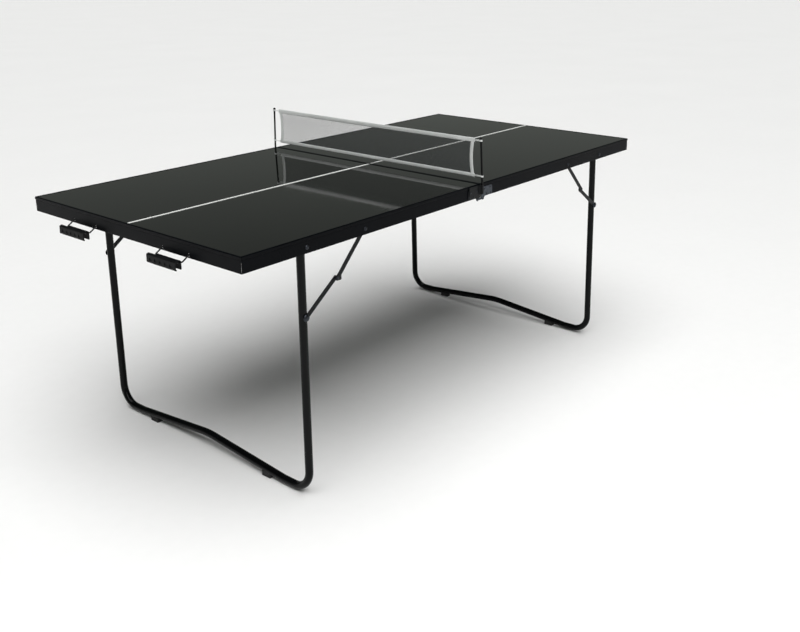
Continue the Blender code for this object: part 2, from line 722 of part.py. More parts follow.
def hinge_link(edge_name, parent):
    """Make one link plate under the aprons, with the two domed pins that are riveted in it."""
    edge = EDGE[edge_name]
    spacing, radius = HINGE_HALF_SPACING, HINGE_DROP - CLEARANCE
    outline = [*arc((-spacing, 0), radius, 90, 270, 8), *arc((spacing, 0), radius, -90, 90, 8)]
    thickness = APRON_OUTER_Y - APRON_INNER_Y
    plate = extruded(f"hinge_link_{edge_name}", outline, thickness)
    middle = edge * (APRON_OUTER_Y - thickness / 2)
    plate.matrix_world = axes((1, 0, 0), (0, 0, 1), (0, -1, 0), (0, middle, HINGE_Z))
    shank, head = 0.0024, 0.0042
    seat = BRACKET_OUTER_Y + CLEARANCE
    inner = APRON_INNER_Y - 0.0010
    profile = [
        (0.0, seat + 0.0018), (head * 0.6, seat + 0.0015), (head, seat), (shank, seat),
        (shank, inner), (0.0, inner),
    ]
    for side in SIDE.values():
        join(plate, out_through("hinge_pin", edge, side * spacing, HINGE_Z, profile, 12))
    return fasten(plate, BLACK_STEEL, parent)


# ---------------------------------------------------------------- bails and clips
def bail(half, edge_name):
    """Make one wire bail, whose arms pass the end rail's slots and end in turned tips."""
    side, centre = SIDE[half], EDGE[edge_name] * BAIL_CENTRE_Y
    droop, reach = BAIL_DROOP[half], BAIL_REACH[half]
    inside = BAIL_ARM - reach
    corners = [
        (-inside, -BAIL_HALF_WIDTH + BAIL_TIP, 0), (-inside, -BAIL_HALF_WIDTH, 0),
        (reach, -BAIL_HALF_WIDTH, 0), (reach, BAIL_HALF_WIDTH, 0),
        (-inside, BAIL_HALF_WIDTH, 0), (-inside, BAIL_HALF_WIDTH - BAIL_TIP, 0),
    ]
    place = (side * BAIL_HOLE_X, centre, BAIL_HOLE_Z)
    hook = pivot(f"bail_{edge_name}_{half}_pivot", place)
    route = rounded_route(corners, BAIL_BEND_RADIUS, 4)
    loop = wire(f"bail_{edge_name}_{half}", route, BAIL_WIRE_RADIUS, 2)
    out = Vector((side * math.cos(droop), 0, -math.sin(droop)))
    loop.matrix_world = axes(out, (0, 1, 0), out.cross((0, 1, 0)), place)
    return fasten(loop, BLACK_STEEL, hook, smooth=True)


def clip_outline():
    """Return the clip's section: X outwards and Y up from the wire that it hangs on."""
    barrel = CLIP_BARREL_RADIUS
    return [
        (-barrel, -0.0170), *arc((0, 0), barrel, 180, 75, 5),
        (0.0080, 0.0042), (0.0120, 0.0030), (0.0138, 0.0004), (CLIP_OUTER, -0.0160),
        (0.0132, -0.0196), (0.0108, -0.0202), (0.0092, -0.0180), (0.0112, -0.0158),
        (0.0108, -0.0040), (0.0092, -0.0008), (0.0066, 0.0002),
        *arc((0, 0), barrel, -20, -95, 4), (-0.0018, -0.0056), (-0.0018, -0.0150),
        (-0.0004, -0.0172), (-0.0014, -0.0192), (-0.0034, -0.0196),
    ]


def clip(edge_name):
    """Make one moulded clip, open below, that turns on the crossbar of a bail of half "a"."""
    side, centre = SIDE["a"], EDGE[edge_name] * BAIL_CENTRE_Y
    axis_x, axis_z = side * CLIP_AXIS_X, CLIP_AXIS_Z
    turn = pivot(f"clip_{edge_name}_pivot", (axis_x, centre, axis_z))
    outline = [(side * x, y) for x, y in clip_outline()]
    bore = circle((0, 0), CLIP_BORE_RADIUS, 12)
    body = extruded(f"clip_{edge_name}", outline, CLIP_LENGTH, [bore])
    body.matrix_world = axes(
        (1, 0, 0), (0, 0, 1), (0, -1, 0), (axis_x, centre + CLIP_SHIFT, axis_z)
    )
    past_barrel = centre + BAIL_HALF_WIDTH - BAIL_BEND_RADIUS - 0.0025
    low = (axis_x - 0.0062, past_barrel, axis_z - 0.0066)
    high = (axis_x + 0.0070, past_barrel + 0.060, axis_z + 0.0090)
    return fasten(cut(body, [block("arm_notch", low, high)]), BLACK_PLASTIC, turn)


# ---------------------------------------------------------------- net set
def post_lean_at(height):
    """Return how far a post leans towards the net at a height above its upright foot."""
    return max(0.0, height - TABLE_HEIGHT - 0.010) * math.tan(POST_LEAN)


def net_post(edge_name, parent):
    """Make one net post: a rod, upright in its socket and leaning inwards above, with a knob."""
    edge = EDGE[edge_name]
    foot = TABLE_HEIGHT - SOCKET_TOP_DEPTH - SOCKET_HEIGHT + 0.001
    top = TABLE_HEIGHT + POST_ABOVE_TOP
    bend = TABLE_HEIGHT + 0.010
    heights = [foot, bend - 0.012, bend, bend + 0.012, top - 0.010, top - 0.0055]
    route = [(0, edge * (POST_Y - post_lean_at(height)), height) for height in heights]
    rod = wire(f"net_post_{edge_name}", route, POST_RADIUS, 4)
    bpy.ops.mesh.primitive_uv_sphere_add(segments=12, ring_count=8, radius=KNOB_RADIUS)
    knob = adopted()
    knob.location = (0, edge * (POST_Y - post_lean_at(top)), top - KNOB_RADIUS)
    return fasten(join(rod, knob), BLACK_STEEL, parent, smooth=True)


def net(parent):
    """Make the net's cloth, and its taped border with the cord loops that hold it to the posts."""
    low = TABLE_HEIGHT + NET_BOTTOM_ABOVE_TOP
    high = TABLE_HEIGHT + NET_TOP_ABOVE_TOP
    deep, wide = NET_TAPE_THICKNESS / 2, NET_HALF_WIDTH
    inner_low, inner_high = low + NET_TAPE_BOTTOM, high - NET_TAPE_TOP
    inner_wide = wide - NET_TAPE_SIDE
    border = block("net_border", (-deep, -wide, low), (deep, wide, high))
    window = block(
        "window", (-2 * deep, -inner_wide, inner_low), (2 * deep, inner_wide, inner_high)
    )
    cut(border, [window])
    for edge in EDGE.values():
        for height in (low + NET_TAPE_BOTTOM / 2, high - NET_TAPE_TOP / 2):
            post_y = POST_Y - post_lean_at(height)
            tail = post_y - wide + 0.0040
            outline = [*arc((0, 0), 0.0052, -60, 240, 14), (-0.0009, -tail), (0.0009, -tail)]
            points = [(x, edge * y) for x, y in outline]
            loop = extruded("loop", points, 0.0030, [circle((0, 0), 0.0036, 12)])
            loop.location = (0, edge * post_y, height)
            join(border, loop)
    fasten(border, NET_WHITE, parent)
    thin = NET_CLOTH_THICKNESS / 2
    edge_y = inner_wide - CLEARANCE
    cloth = block(
        "net_cloth", (-thin, -edge_y, inner_low + CLEARANCE), (thin, edge_y, inner_high - CLEARANCE)
    )
    fasten(cloth, NET_THREAD, parent)


# ---------------------------------------------------------------- the whole table
def build_half(half, hinge):
    """Make everything that one half carries, apart from its bails."""
    side = SIDE[half]
    for edge_name in EDGE:
        side_rail(half, edge_name)
        board(half, edge_name)
        hinge_bracket(half, edge_name, hinge)
    end_rail(half)
    middle_rail(half)
    centre_strip(half)
    leg_pivot_pins(half)
    brace_rivets(half)
    leg = pivot(f"leg_{half}_pivot", (side * LEG_PIVOT_X, 0, LEG_PIVOT_Z), -side * LEG_SPLAY)
    leg_tube(half, leg)
    foot_pads(half, leg)
    brace_studs(half, leg)
    top, _, bottom = brace_points(half)
    upper = pivot(f"upper_links_{half}_pivot", (top.x, 0, top.y))
    lower = pivot(f"lower_links_{half}_pivot", (bottom.x, 0, bottom.y))
    braces(half, upper, lower)


def build_table():
    """Make the whole table."""
    hinges = {
        half: pivot(f"hinge_{half}_pivot", (side * HINGE_HALF_SPACING, 0, HINGE_Z))
        for half, side in SIDE.items()
    }
    for half in SIDE:
        build_half(half, hinges[half])
        for edge_name in EDGE:
            bail(half, edge_name)
    for edge_name in EDGE:
        clip(edge_name)
        hinge_link(edge_name, hinges["a"])
    net_pivot = pivot("net_lift", (0, 0, TABLE_HEIGHT))
    for edge_name in EDGE:
        net_post(edge_name, net_pivot)
    net(net_pivot)


build_table()
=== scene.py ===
"""Looks of a folding table tennis table: gloss boards, bent tube legs, knee braces, net and bails.

Everything is in metres in the table's own frame: the origin is on the floor under the middle of the
table, +X runs towards the end with the bare bails, +Y to the rear side and +Z up. Half "a" lies at -X
and half "b" at +X; front pieces lie at -Y and rear pieces at +Y.
"""

from __future__ import annotations

import json
import logging
import math
import random
from dataclasses import dataclass
from enum import Enum
from typing import Sequence

import bmesh
import bpy
from mathutils import Matrix, Vector, noise

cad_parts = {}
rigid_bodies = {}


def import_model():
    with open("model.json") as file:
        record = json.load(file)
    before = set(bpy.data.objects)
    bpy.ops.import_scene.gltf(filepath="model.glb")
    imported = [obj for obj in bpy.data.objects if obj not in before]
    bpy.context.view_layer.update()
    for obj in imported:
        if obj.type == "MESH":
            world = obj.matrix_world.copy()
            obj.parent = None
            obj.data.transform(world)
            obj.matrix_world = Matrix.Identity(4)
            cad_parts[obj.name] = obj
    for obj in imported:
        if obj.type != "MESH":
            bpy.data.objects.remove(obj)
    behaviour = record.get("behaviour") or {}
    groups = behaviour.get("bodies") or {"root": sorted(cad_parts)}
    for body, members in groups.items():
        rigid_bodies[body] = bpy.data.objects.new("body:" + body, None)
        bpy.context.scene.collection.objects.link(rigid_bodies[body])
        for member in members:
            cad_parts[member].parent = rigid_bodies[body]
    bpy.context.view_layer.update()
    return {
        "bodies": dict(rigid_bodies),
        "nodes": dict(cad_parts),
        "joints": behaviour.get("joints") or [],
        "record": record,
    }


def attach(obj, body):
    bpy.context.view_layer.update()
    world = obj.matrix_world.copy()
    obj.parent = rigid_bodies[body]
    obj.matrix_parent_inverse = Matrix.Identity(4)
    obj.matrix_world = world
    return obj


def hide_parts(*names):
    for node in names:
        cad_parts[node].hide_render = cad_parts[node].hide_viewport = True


LOG = logging.getLogger("table_tennis_table")
MM = 0.001
Point = Sequence[float]
Outline = Sequence[tuple[float, float]]
Shape = bmesh.types.BMesh
# Noise hardly leaves this band, so the finishes spread it over their whole range.
NOISE_BAND = (0.3, 0.7)
# How much of the tint comes from the fine pattern; the rest comes from the patches.
FINE_SHARE = 0.35


class Half(Enum):
    """The two halves of the table, with the side of the middle that each lies on."""

    A = ("a", -1)
    B = ("b", 1)

    @property
    def letter(self) -> str:
        """The letter that ends the names of the half's pieces."""
        return self.value[0]

    @property
    def side(self) -> int:
        """-1 towards -X and 1 towards +X."""
        return self.value[1]

    @property
    def body(self) -> str:
        """The moving body that the half's frame belongs to."""
        return f"half_{self.letter}"


class Edge(Enum):
    """The two long edges of the table."""

    FRONT = ("front", -1)
    REAR = ("rear", 1)

    @property
    def word(self) -> str:
        """The word in the names of the edge's pieces."""
        return self.value[0]

    @property
    def side(self) -> int:
        """-1 towards -Y and 1 towards +Y."""
        return self.value[1]


class Grain(Enum):
    """How a surface was made, which decides its fine pattern."""

    PEEL = "sprayed or pressed: soft, shallow waves"
    MOULD = "moulded: fine, even sparkle"
    DRAWN = "drawn or extruded: fine streaks along one axis"
    WOVEN = "woven: two crossed rows of thread"


class Axis(Enum):
    """The object axis that a drawn surface's streaks run along."""

    X = 0
    Y = 1
    Z = 2


# ---------------------------------------------------------------- finishes
def linear(colour: str) -> tuple[float, float, float, float]:
    """Turn an sRGB hex colour into linear red, green, blue and alpha.

    Args:
        colour: six hex digits, with or without a leading "#".

    Returns:
        The four linear components, with an alpha of 1.
    """
    digits = colour.lstrip("#")
    channels = [int(digits[at : at + 2], 16) / 255 for at in (0, 2, 4)]
    flat = [c / 12.92 if c <= 0.04045 else ((c + 0.055) / 1.055) ** 2.4 for c in channels]
    return (flat[0], flat[1], flat[2], 1.0)


def add_node(
    tree: bpy.types.NodeTree,
    kind: str,
    values: dict[str, object] | None = None,
    links: dict[str, bpy.types.NodeSocket] | None = None,
    **settings: object,
) -> bpy.types.Node:
    """Add a shader node with its settings, socket values and incoming links.

    Args:
        tree: the node tree to add it to.
        kind: the node's type, without its "ShaderNode" prefix.
        values: input socket names and the values they are set to.
        links: input socket names and the output sockets that feed them.
        settings: attributes of the node itself.

    Returns:
        The new node.
    """
    node = tree.nodes.new(f"ShaderNode{kind}")
    for name, value in settings.items():
        setattr(node, name, value)
    for name, value in (values or {}).items():
        node.inputs[name].default_value = value
    for name, source in (links or {}).items():
        tree.links.new(source, node.inputs[name])
    return node


@dataclass(frozen=True)
class Finish:
    """One surface finish, from which a procedural material is made.

    Attributes:
        name: the material's common name.
        colour: its main colour, sRGB hex.
        shade: the colour it drifts to in patches and hollows, sRGB hex.
        roughness: its smoothest and roughest value.
        grain: how the surface was made.
        grain_mm: the size of the fine pattern.
        relief_mm: how deep the fine pattern is.
        patch_mm: the size of the patches of colour and roughness.
        metallic: 0 for paint, plastic and cloth, 1 for bare metal.
        coat: the weight of a clear coat.
        coat_roughness: how rough the clear coat is.
        sheen: the weight of a cloth's sheen.
        specular: how strongly it mirrors, where 0.5 is usual and matting agents lower it.
        axis: the axis that streaks run along.
    """

    name: str
    colour: str
    shade: str
    roughness: tuple[float, float]
    grain: Grain
    grain_mm: float
    relief_mm: float
    patch_mm: float = 60.0
    metallic: float = 0.0
    coat: float = 0.0
    coat_roughness: float = 0.05
    sheen: float = 0.0
    specular: float = 0.5
    axis: Axis = Axis.X

    def material(self) -> bpy.types.Material:
        """Return this finish's material, making it the first time."""
        found = bpy.data.materials.get(self.name)
        if found:
            return found
        made = bpy.data.materials.new(self.name)
        made.use_nodes = True
        tree = made.node_tree
        shader = tree.nodes["Principled BSDF"]
        for socket, value in (
            ("Metallic", self.metallic), ("Coat Weight", self.coat),
            ("Coat Roughness", self.coat_roughness), ("Sheen Weight", self.sheen),
            ("Specular IOR Level", self.specular),
        ):
            shader.inputs[socket].default_value = value
        place = add_node(tree, "TexCoord").outputs["Object"]
        patches = add_node(
            tree, "TexNoise", {"Scale": 1 / (self.patch_mm * MM), "Detail": 4.0, "Roughness": 0.6},
            {"Vector": place},
        ).outputs["Fac"]
        fine = self.fine_pattern(tree, place)
        blend = add_node(
            tree, "Mix", {0: FINE_SHARE}, {2: patches, 3: fine}, data_type="FLOAT",
        ).outputs[0]
        tint = add_node(tree, "ValToRGB", links={"Fac": blend})
        for end, colour, at in zip(tint.color_ramp.elements, (self.colour, self.shade), NOISE_BAND):
            end.color, end.position = linear(colour), at
        ends = zip(("From Min", "From Max", "To Min", "To Max"), (*NOISE_BAND, *self.roughness))
        gloss = add_node(tree, "MapRange", dict(ends), {"Value": patches})
        bump = add_node(
            tree, "Bump", {"Strength": 1.0, "Distance": self.relief_mm * MM}, {"Height": fine}
        )
        tree.links.new(tint.outputs["Color"], shader.inputs["Base Color"])
        tree.links.new(gloss.outputs["Result"], shader.inputs["Roughness"])
        tree.links.new(bump.outputs["Normal"], shader.inputs["Normal"])
        return made

    def fine_pattern(
        self, tree: bpy.types.NodeTree, place: bpy.types.NodeSocket
    ) -> bpy.types.NodeSocket:
        """Add the fine pattern that its making leaves.

        Args:
            tree: the material's node tree.
            place: the socket that gives a point's place.

        Returns:
            The socket that gives the pattern's height, about 0 to 1.
        """
        size = self.grain_mm * MM
        if self.grain is Grain.WOVEN:
            # a wave repeats every pi / 10 of its scaled length
            rows = {
                index: add_node(
                    tree, "TexWave",
                    {"Scale": math.pi / 10 / size, "Distortion": 0.8, "Detail": 1.0},
                    {"Vector": place}, bands_direction=direction,
                ).outputs["Fac"]
                for index, direction in enumerate(("Y", "Z"))
            }
            return add_node(tree, "Math", links=rows, operation="MAXIMUM").outputs[0]
        stretch = [1 / size] * 3
        if self.grain is Grain.DRAWN:
            stretch[self.axis.value] *= 0.02
        spread = add_node(tree, "Mapping", {"Scale": stretch}, {"Vector": place})
        detail = {Grain.PEEL: 1.0, Grain.MOULD: 3.0, Grain.DRAWN: 2.0}[self.grain]
        return add_node(
            tree, "TexNoise", {"Scale": 1.0, "Detail": detail, "Roughness": 0.5},
            {"Vector": spread.outputs["Vector"]},
        ).outputs["Fac"]


# Fibreboard faced with a pressed gloss laminate: nearly black, a clear mirror, with faint long waves.
GLOSS_LAMINATE = Finish(
    "gloss_laminate", "#060706", "#0b0d0b", (0.03, 0.07), Grain.PEEL, 26.0, 0.008, 240.0,
)
# The boards' underside, a plain balancing sheet: black too, but only satin.
SATIN_LAMINATE = Finish(
    "satin_laminate", "#0d0e0e", "#161717", (0.28, 0.38), Grain.PEEL, 5.0, 0.010, 150.0,
)
# Extruded aluminium under black powder coat: satin, with die lines that the coat softens.
BLACK_EXTRUSION = {
    axis: Finish(
        f"powder_coated_extrusion_{axis.name.lower()}", "#030406", "#07090d", (0.26, 0.36),
        Grain.DRAWN, 1.6, 0.012, 180.0, specular=0.05, axis=axis,
    )
    for axis in (Axis.X, Axis.Y)
}
# Printed white vinyl on the strip: satin, barely marked.
WHITE_VINYL = Finish(
    "white_vinyl", "#f0f1ee", "#e0e2df", (0.30, 0.42), Grain.PEEL, 6.0, 0.010, 90.0,
)
# Steel tube and wire under gloss black paint: deep, with a slight peel.
BLACK_ENAMEL = Finish(
    "black_enamel", "#040505", "#090a0b", (0.18, 0.28), Grain.PEEL, 3.0, 0.008, 70.0,
    coat=0.05, coat_roughness=0.10, specular=0.1,
)
# Pressed steel plates under black paint: a little duller than the tube.
BLACK_PLATE = Finish(
    "black_painted_plate", "#08090a", "#101214", (0.30, 0.42), Grain.PEEL, 1.8, 0.012, 30.0,
    specular=0.16,
)
# Pressed steel plate, zinc plated: grey, cloudy spangle under a dull shine.
GREY_ZINC = Finish(
    "zinc_plated_steel", "#5a5e64", "#3b3f45", (0.34, 0.50), Grain.MOULD, 1.2, 0.008, 9.0,
    metallic=1.0,
)
# Zinc plating with a dark passivate: metallic, cloudy, lightly worn.
DARK_ZINC = Finish(
    "dark_passivated_zinc", "#3f4247", "#292b2f", (0.28, 0.42), Grain.MOULD, 0.8, 0.006, 7.0,
    metallic=1.0,
)
# Bright zinc screws and rivets.
BRIGHT_ZINC = Finish(
    "bright_zinc", "#c6c9ca", "#9a9da0", (0.20, 0.34), Grain.MOULD, 0.8, 0.006, 6.0, metallic=1.0,
)
# Moulded polypropylene: black, matt, with a spark-eroded grain.
MOULDED_BLACK = Finish(
    "moulded_polypropylene", "#070708", "#101113", (0.42, 0.55), Grain.MOULD, 0.9, 0.020, 25.0,
    specular=0.14,
)
# Soft thermoplastic of the foot pads: black and dull.
PAD_RUBBER = Finish(
    "soft_thermoplastic", "#131313", "#1f1f1e", (0.62, 0.78), Grain.MOULD, 1.2, 0.040, 20.0,
)
# Woven polyester tape: its threads are about 0.4 mm, drawn at 1.5 mm so that they show.
WHITE_TAPE = Finish(
    "woven_polyester_tape", "#eff0ee", "#d3d6d4", (0.72, 0.86), Grain.WOVEN, 1.5, 0.12, 120.0,
    sheen=0.15,
)
# Polyester sewing thread and the braided cord of the loops.
WHITE_CORD = Finish(
    "polyester_cord", "#eceeec", "#cfd2d0", (0.6, 0.7), Grain.MOULD, 0.5, 0.03, 10.0, sheen=0.1,
)
# Knotted nylon net: dark grey thread, a little fuzzy.
NET_THREAD = Finish(
    "nylon_net_thread", "#26292b", "#34373a", (0.6, 0.75), Grain.MOULD, 0.6, 0.03, 60.0, sheen=0.1,
)
# The floor: matt, pale, faintly mottled.
PALE_FLOOR = Finish(
    "pale_matt_floor", "#f3f3f2", "#f0f0ef", (0.85, 0.92), Grain.PEEL, 40.0, 0.02, 900.0,
)


# ---------------------------------------------------------------- shapes
def arc(
    centre: Point, radius: float, first: float, last: float, steps: int
) -> list[tuple[float, float]]:
    """Work out the points of an arc.

    Args:
        centre: its middle, as (x, y).
        radius: its radius.
        first: its first angle, in degrees.
        last: its last angle, in degrees.
        steps: how many parts it has.

    Returns:
        Its points as (x, y) pairs.
    """
    angles = [math.radians(first + (last - first) * step / steps) for step in range(steps + 1)]
    return [(centre[0] + radius * math.cos(a), centre[1] + radius * math.sin(a)) for a in angles]


def rounded_route(corners: Sequence[Point], radius: float, steps: int) -> list[Vector]:
    """Work out a route through corners, with each inner corner bent to a radius.

    Args:
        corners: the corners in order.
        radius: the bends' radius.
        steps: how many parts each bend has.

    Returns:
        The route's points.
    """
    route = [Vector(corners[0])]
    for before, corner, after in zip(corners, corners[1:], corners[2:]):
        here = Vector(corner)
        back = (Vector(before) - here).normalized()
        ahead = (Vector(after) - here).normalized()
        half_angle = back.angle(ahead) / 2
        centre = here + (back + ahead).normalized() * (radius / math.sin(half_angle))
        reach = radius / math.tan(half_angle)
        start = (here + back * reach - centre).normalized()
        finish = (here + ahead * reach - centre).normalized()
        route += [centre + start.slerp(finish, step / steps) * radius for step in range(steps + 1)]
    return [*route, Vector(corners[-1])]


def axes(right: Point, up: Point, out: Point, origin: Point) -> Matrix:
    """Work out the matrix that stands a shape's own X, Y and Z along three directions.

    Args:
        right: where its X goes.
        up: where its Y goes.
        out: where its Z goes.
        origin: where its origin goes.

    Returns:
        The matrix.
    """
    turn = Matrix((Vector(right), Vector(up), Vector(out))).transposed().to_4x4()
    return Matrix.Translation(origin) @ turn


def merged(shapes: Sequence[Shape]) -> Shape:
    """Put several shapes into one.

    Args:
        shapes: the shapes, which are freed.

    Returns:
        The one shape that holds them all.
    """
    whole = bmesh.new()
    for shape in shapes:
        carrier = bpy.data.meshes.new("carrier")
        shape.to_mesh(carrier)
        shape.free()
        whole.from_mesh(carrier)
        bpy.data.meshes.remove(carrier)
    return whole


def repeated(pattern: Shape, places: Sequence[Matrix]) -> Shape:
    """Set a shape down at many places.

    Args:
        pattern: the shape, which is freed.
        places: the matrix of each copy.

    Returns:
        The one shape that holds all copies.
    """
    carrier = bpy.data.meshes.new("carrier")
    pattern.to_mesh(carrier)
    pattern.free()
    whole = bmesh.new()
    for place in places:
        known = len(whole.verts)
        whole.from_mesh(carrier)
        whole.verts.ensure_lookup_table()
        bmesh.ops.transform(whole, matrix=place, verts=whole.verts[known:])
    bpy.data.meshes.remove(carrier)
    return whole


def moved(shape: Shape, matrix: Matrix) -> Shape:
    """Move a whole shape by a matrix, and return it."""
    bmesh.ops.transform(shape, matrix=matrix, verts=shape.verts)
    return shape


def loop(shape: Shape, points: Sequence[Point], closed: bool = True) -> list:
    """Add a few vertices and the edges between them.

    Args:
        shape: the shape to add them to.
        points: the vertices' places.
        closed: whether the last is joined to the first.

    Returns:
        The new edges.
    """
    corners = [shape.verts.new(point) for point in points]
    ends = corners[1:] + corners[:1] if closed else corners[1:]
    return [shape.edges.new(pair) for pair in zip(corners, ends)]


def soften(shape: Shape, width: float, angle: float = 40.0, segments: int = 2) -> None:
    """Bevel every edge that is sharper than an angle.

    Args:
        shape: the shape.
        width: the bevel's width.
        angle: the smallest angle between faces that counts as sharp, in degrees.
        segments: how many parts the bevel has.
    """
    bmesh.ops.recalc_face_normals(shape, faces=shape.faces)
    sharp = [e for e in shape.edges if e.is_manifold and e.calc_face_angle() > math.radians(angle)]
    bmesh.ops.bevel(
        shape, geom=sharp, offset=width, segments=segments, profile=0.5, affect="EDGES",
        material=-1, clamp_overlap=True,
    )


def plate(
    outline: Outline, thickness: float, matrix: Matrix, rounding: float = 0.0,
    holes: Sequence[Outline] = (),
) -> Shape:
    """Extrude a flat outline into a plate that is centred on its own XY plane.

    Args:
        outline: the outline's points in order.
        thickness: the plate's thickness.
        matrix: where the plate goes.
        rounding: the width of the bevel on its edges.
        holes: the outlines of holes through it.

    Returns:
        The shape.
    """
    shape = bmesh.new()
    rings = [[(x, y, -thickness / 2) for x, y in ring] for ring in (outline, *holes)]
    edges = [edge for ring in rings for edge in loop(shape, ring)]
    if holes:
        bmesh.ops.triangle_fill(shape, use_beauty=True, use_dissolve=False, edges=edges)
    else:
        bmesh.ops.contextual_create(shape, geom=edges)
    grown = bmesh.ops.extrude_face_region(shape, geom=list(shape.faces), use_keep_orig=True)
    risen = [g for g in grown["geom"] if isinstance(g, bmesh.types.BMVert)]
    bmesh.ops.translate(shape, verts=risen, vec=(0, 0, thickness))
    if rounding:
        soften(shape, rounding)
    return moved(shape, matrix)


def turned(profile: Outline, matrix: Matrix, sides: int) -> Shape:
    """Spin a profile of (radius, height) points about Z.

    Args:
        profile: the profile's points.
        matrix: where the turned shape goes.
        sides: how many sides it has.

    Returns:
        The shape.
    """
    shape = bmesh.new()
    loop(shape, [(radius, 0.0, height) for radius, height in profile], closed=profile[0][0] > 0)
    bmesh.ops.spin(
        shape, geom=[*shape.verts, *shape.edges], cent=(0, 0, 0), axis=(0, 0, 1), dvec=(0, 0, 0),
        angle=2 * math.pi, steps=sides, use_merge=True,
    )
    bmesh.ops.remove_doubles(shape, verts=shape.verts, dist=1e-6)
    return moved(shape, matrix)


def swept(
    route: Sequence[Point], radius: float, sides: int, flat: tuple[float, float] = (1.0, 1.0),
    capped: bool = True,
) -> Shape:
    """Carry a circle, or a flattened one, along a route.

    Args:
        route: the route's points.
        radius: the circle's radius.
        sides: how many sides it has.
        flat: how much it is scaled across the route, along its own X and Y.
        capped: whether its ends are closed.

    Returns:
        The shape.
    """
    points = [Vector(point) for point in route]
    ways = [(b - a).normalized() for a, b in zip(points, points[1:])]
    ahead = [ways[0], *((a + b).normalized() for a, b in zip(ways, ways[1:])), ways[-1]]
    side = ahead[0].orthogonal().normalized()
    if abs(ahead[0].x) < 0.9:
        side = (Vector((1, 0, 0)) - ahead[0] * ahead[0].x).normalized()
    shape = bmesh.new()
    ring = bmesh.ops.create_circle(shape, segments=sides, radius=radius)["verts"]
    bmesh.ops.scale(shape, verts=ring, vec=(*flat, 1.0))
    frame = axes(side, ahead[0].cross(side), ahead[0], points[0])
    bmesh.ops.transform(shape, matrix=frame, verts=ring)
    edges = list(shape.edges)
    if capped:
        bmesh.ops.contextual_create(shape, geom=edges)
    for way, point in zip(ahead[1:], points[1:]):
        side = (side - way * side.dot(way)).normalized()
        following = axes(side, way.cross(side), way, point)
        grown = bmesh.ops.extrude_edge_only(shape, edges=edges)["geom"]
        ring = [g for g in grown if isinstance(g, bmesh.types.BMVert)]
        edges = [g for g in grown if isinstance(g, bmesh.types.BMEdge)]
        bmesh.ops.transform(shape, matrix=following @ frame.inverted(), verts=ring)
        frame = following
    if capped:
        bmesh.ops.contextual_create(shape, geom=edges)
    return shape


def block(low: Point, high: Point, rounding: float = 0.0, segments: int = 2) -> Shape:
    """Make a block between two corners, with its edges bevelled.

    Args:
        low: its lowest corner.
        high: its highest corner.
        rounding: the bevel's width.
        segments: how many parts the bevel has.

    Returns:
        The shape.
    """
    shape = bmesh.new()
    low, high = Vector(low), Vector(high)
    sizes = Matrix.Diagonal((*(high - low), 1.0))
    bmesh.ops.create_cube(shape, size=1.0, matrix=Matrix.Translation((low + high) / 2) @ sizes)
    if rounding:
        soften(shape, rounding, segments=segments)
    return shape


def as_object(name: str, shape: Shape) -> bpy.types.Object:
    """Turn a shape into an object at the origin.

    Args:
        name: the object's name.
        shape: the shape, which is freed.

    Returns:
        The object.
    """
    bmesh.ops.remove_doubles(shape, verts=shape.verts, dist=1e-6)
    bmesh.ops.recalc_face_normals(shape, faces=shape.faces)
    mesh = bpy.data.meshes.new(name)
    shape.to_mesh(mesh)
    shape.free()
    made = bpy.data.objects.new(name, mesh)
    bpy.context.scene.collection.objects.link(made)
    return made


def carved(
    shape: Shape, tool: Shape, operation: str = "DIFFERENCE"
) -> Shape:
    """Cut one shape out of another, or join it on.

    Args:
        shape: the shape to work on, which is freed.
        tool: the shape that is cut out or joined on, which is freed.
        operation: a Boolean modifier's operation.

    Returns:
        The carved shape.
    """
    work, cutter = as_object("work", shape), as_object("cutter", tool)
    boolean = work.modifiers.new("carve", "BOOLEAN")
    boolean.operation, boolean.object, boolean.solver = operation, cutter, "EXACT"
    graph = bpy.context.evaluated_depsgraph_get()
    mesh = bpy.data.meshes.new_from_object(work.evaluated_get(graph))
    result = bmesh.new()
    result.from_mesh(mesh)
    for old in (work, cutter):
        bpy.data.objects.remove(old, do_unlink=True)
    bpy.data.meshes.remove(mesh)
    return result


def finish_piece(
    name: str, shape: Shape, finish: Finish, body: str, stands_for: Sequence[str] = (),
    slot: str = "", smooth: float = 35.0,
) -> bpy.types.Object:
    """Turn a shape into a finished piece that moves with a body.

    Args:
        name: the piece's name.
        shape: the shape, which is freed.
        finish: the piece's finish.
        body: the body it moves with.
        stands_for: the plain solids that it is shown instead of.
        slot: the record's material slot that the piece belongs to; it is not used.
        smooth: the angle between faces that stays sharp, in degrees.

    Returns:
        The piece.
    """
    piece = as_object(name, shape)
    piece.data.materials.append(finish.material())
    piece.data.shade_smooth()
    piece.data.set_sharp_from_angle(angle=math.radians(smooth))
    flatness = piece.modifiers.new("flat_faces_stay_flat", "WEIGHTED_NORMAL")
    flatness.keep_sharp = True
    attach(piece, body)
    if stands_for:
        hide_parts(*stands_for)
    LOG.info("%s: %d faces, moves with %s", name, len(piece.data.polygons), body)
    return piece


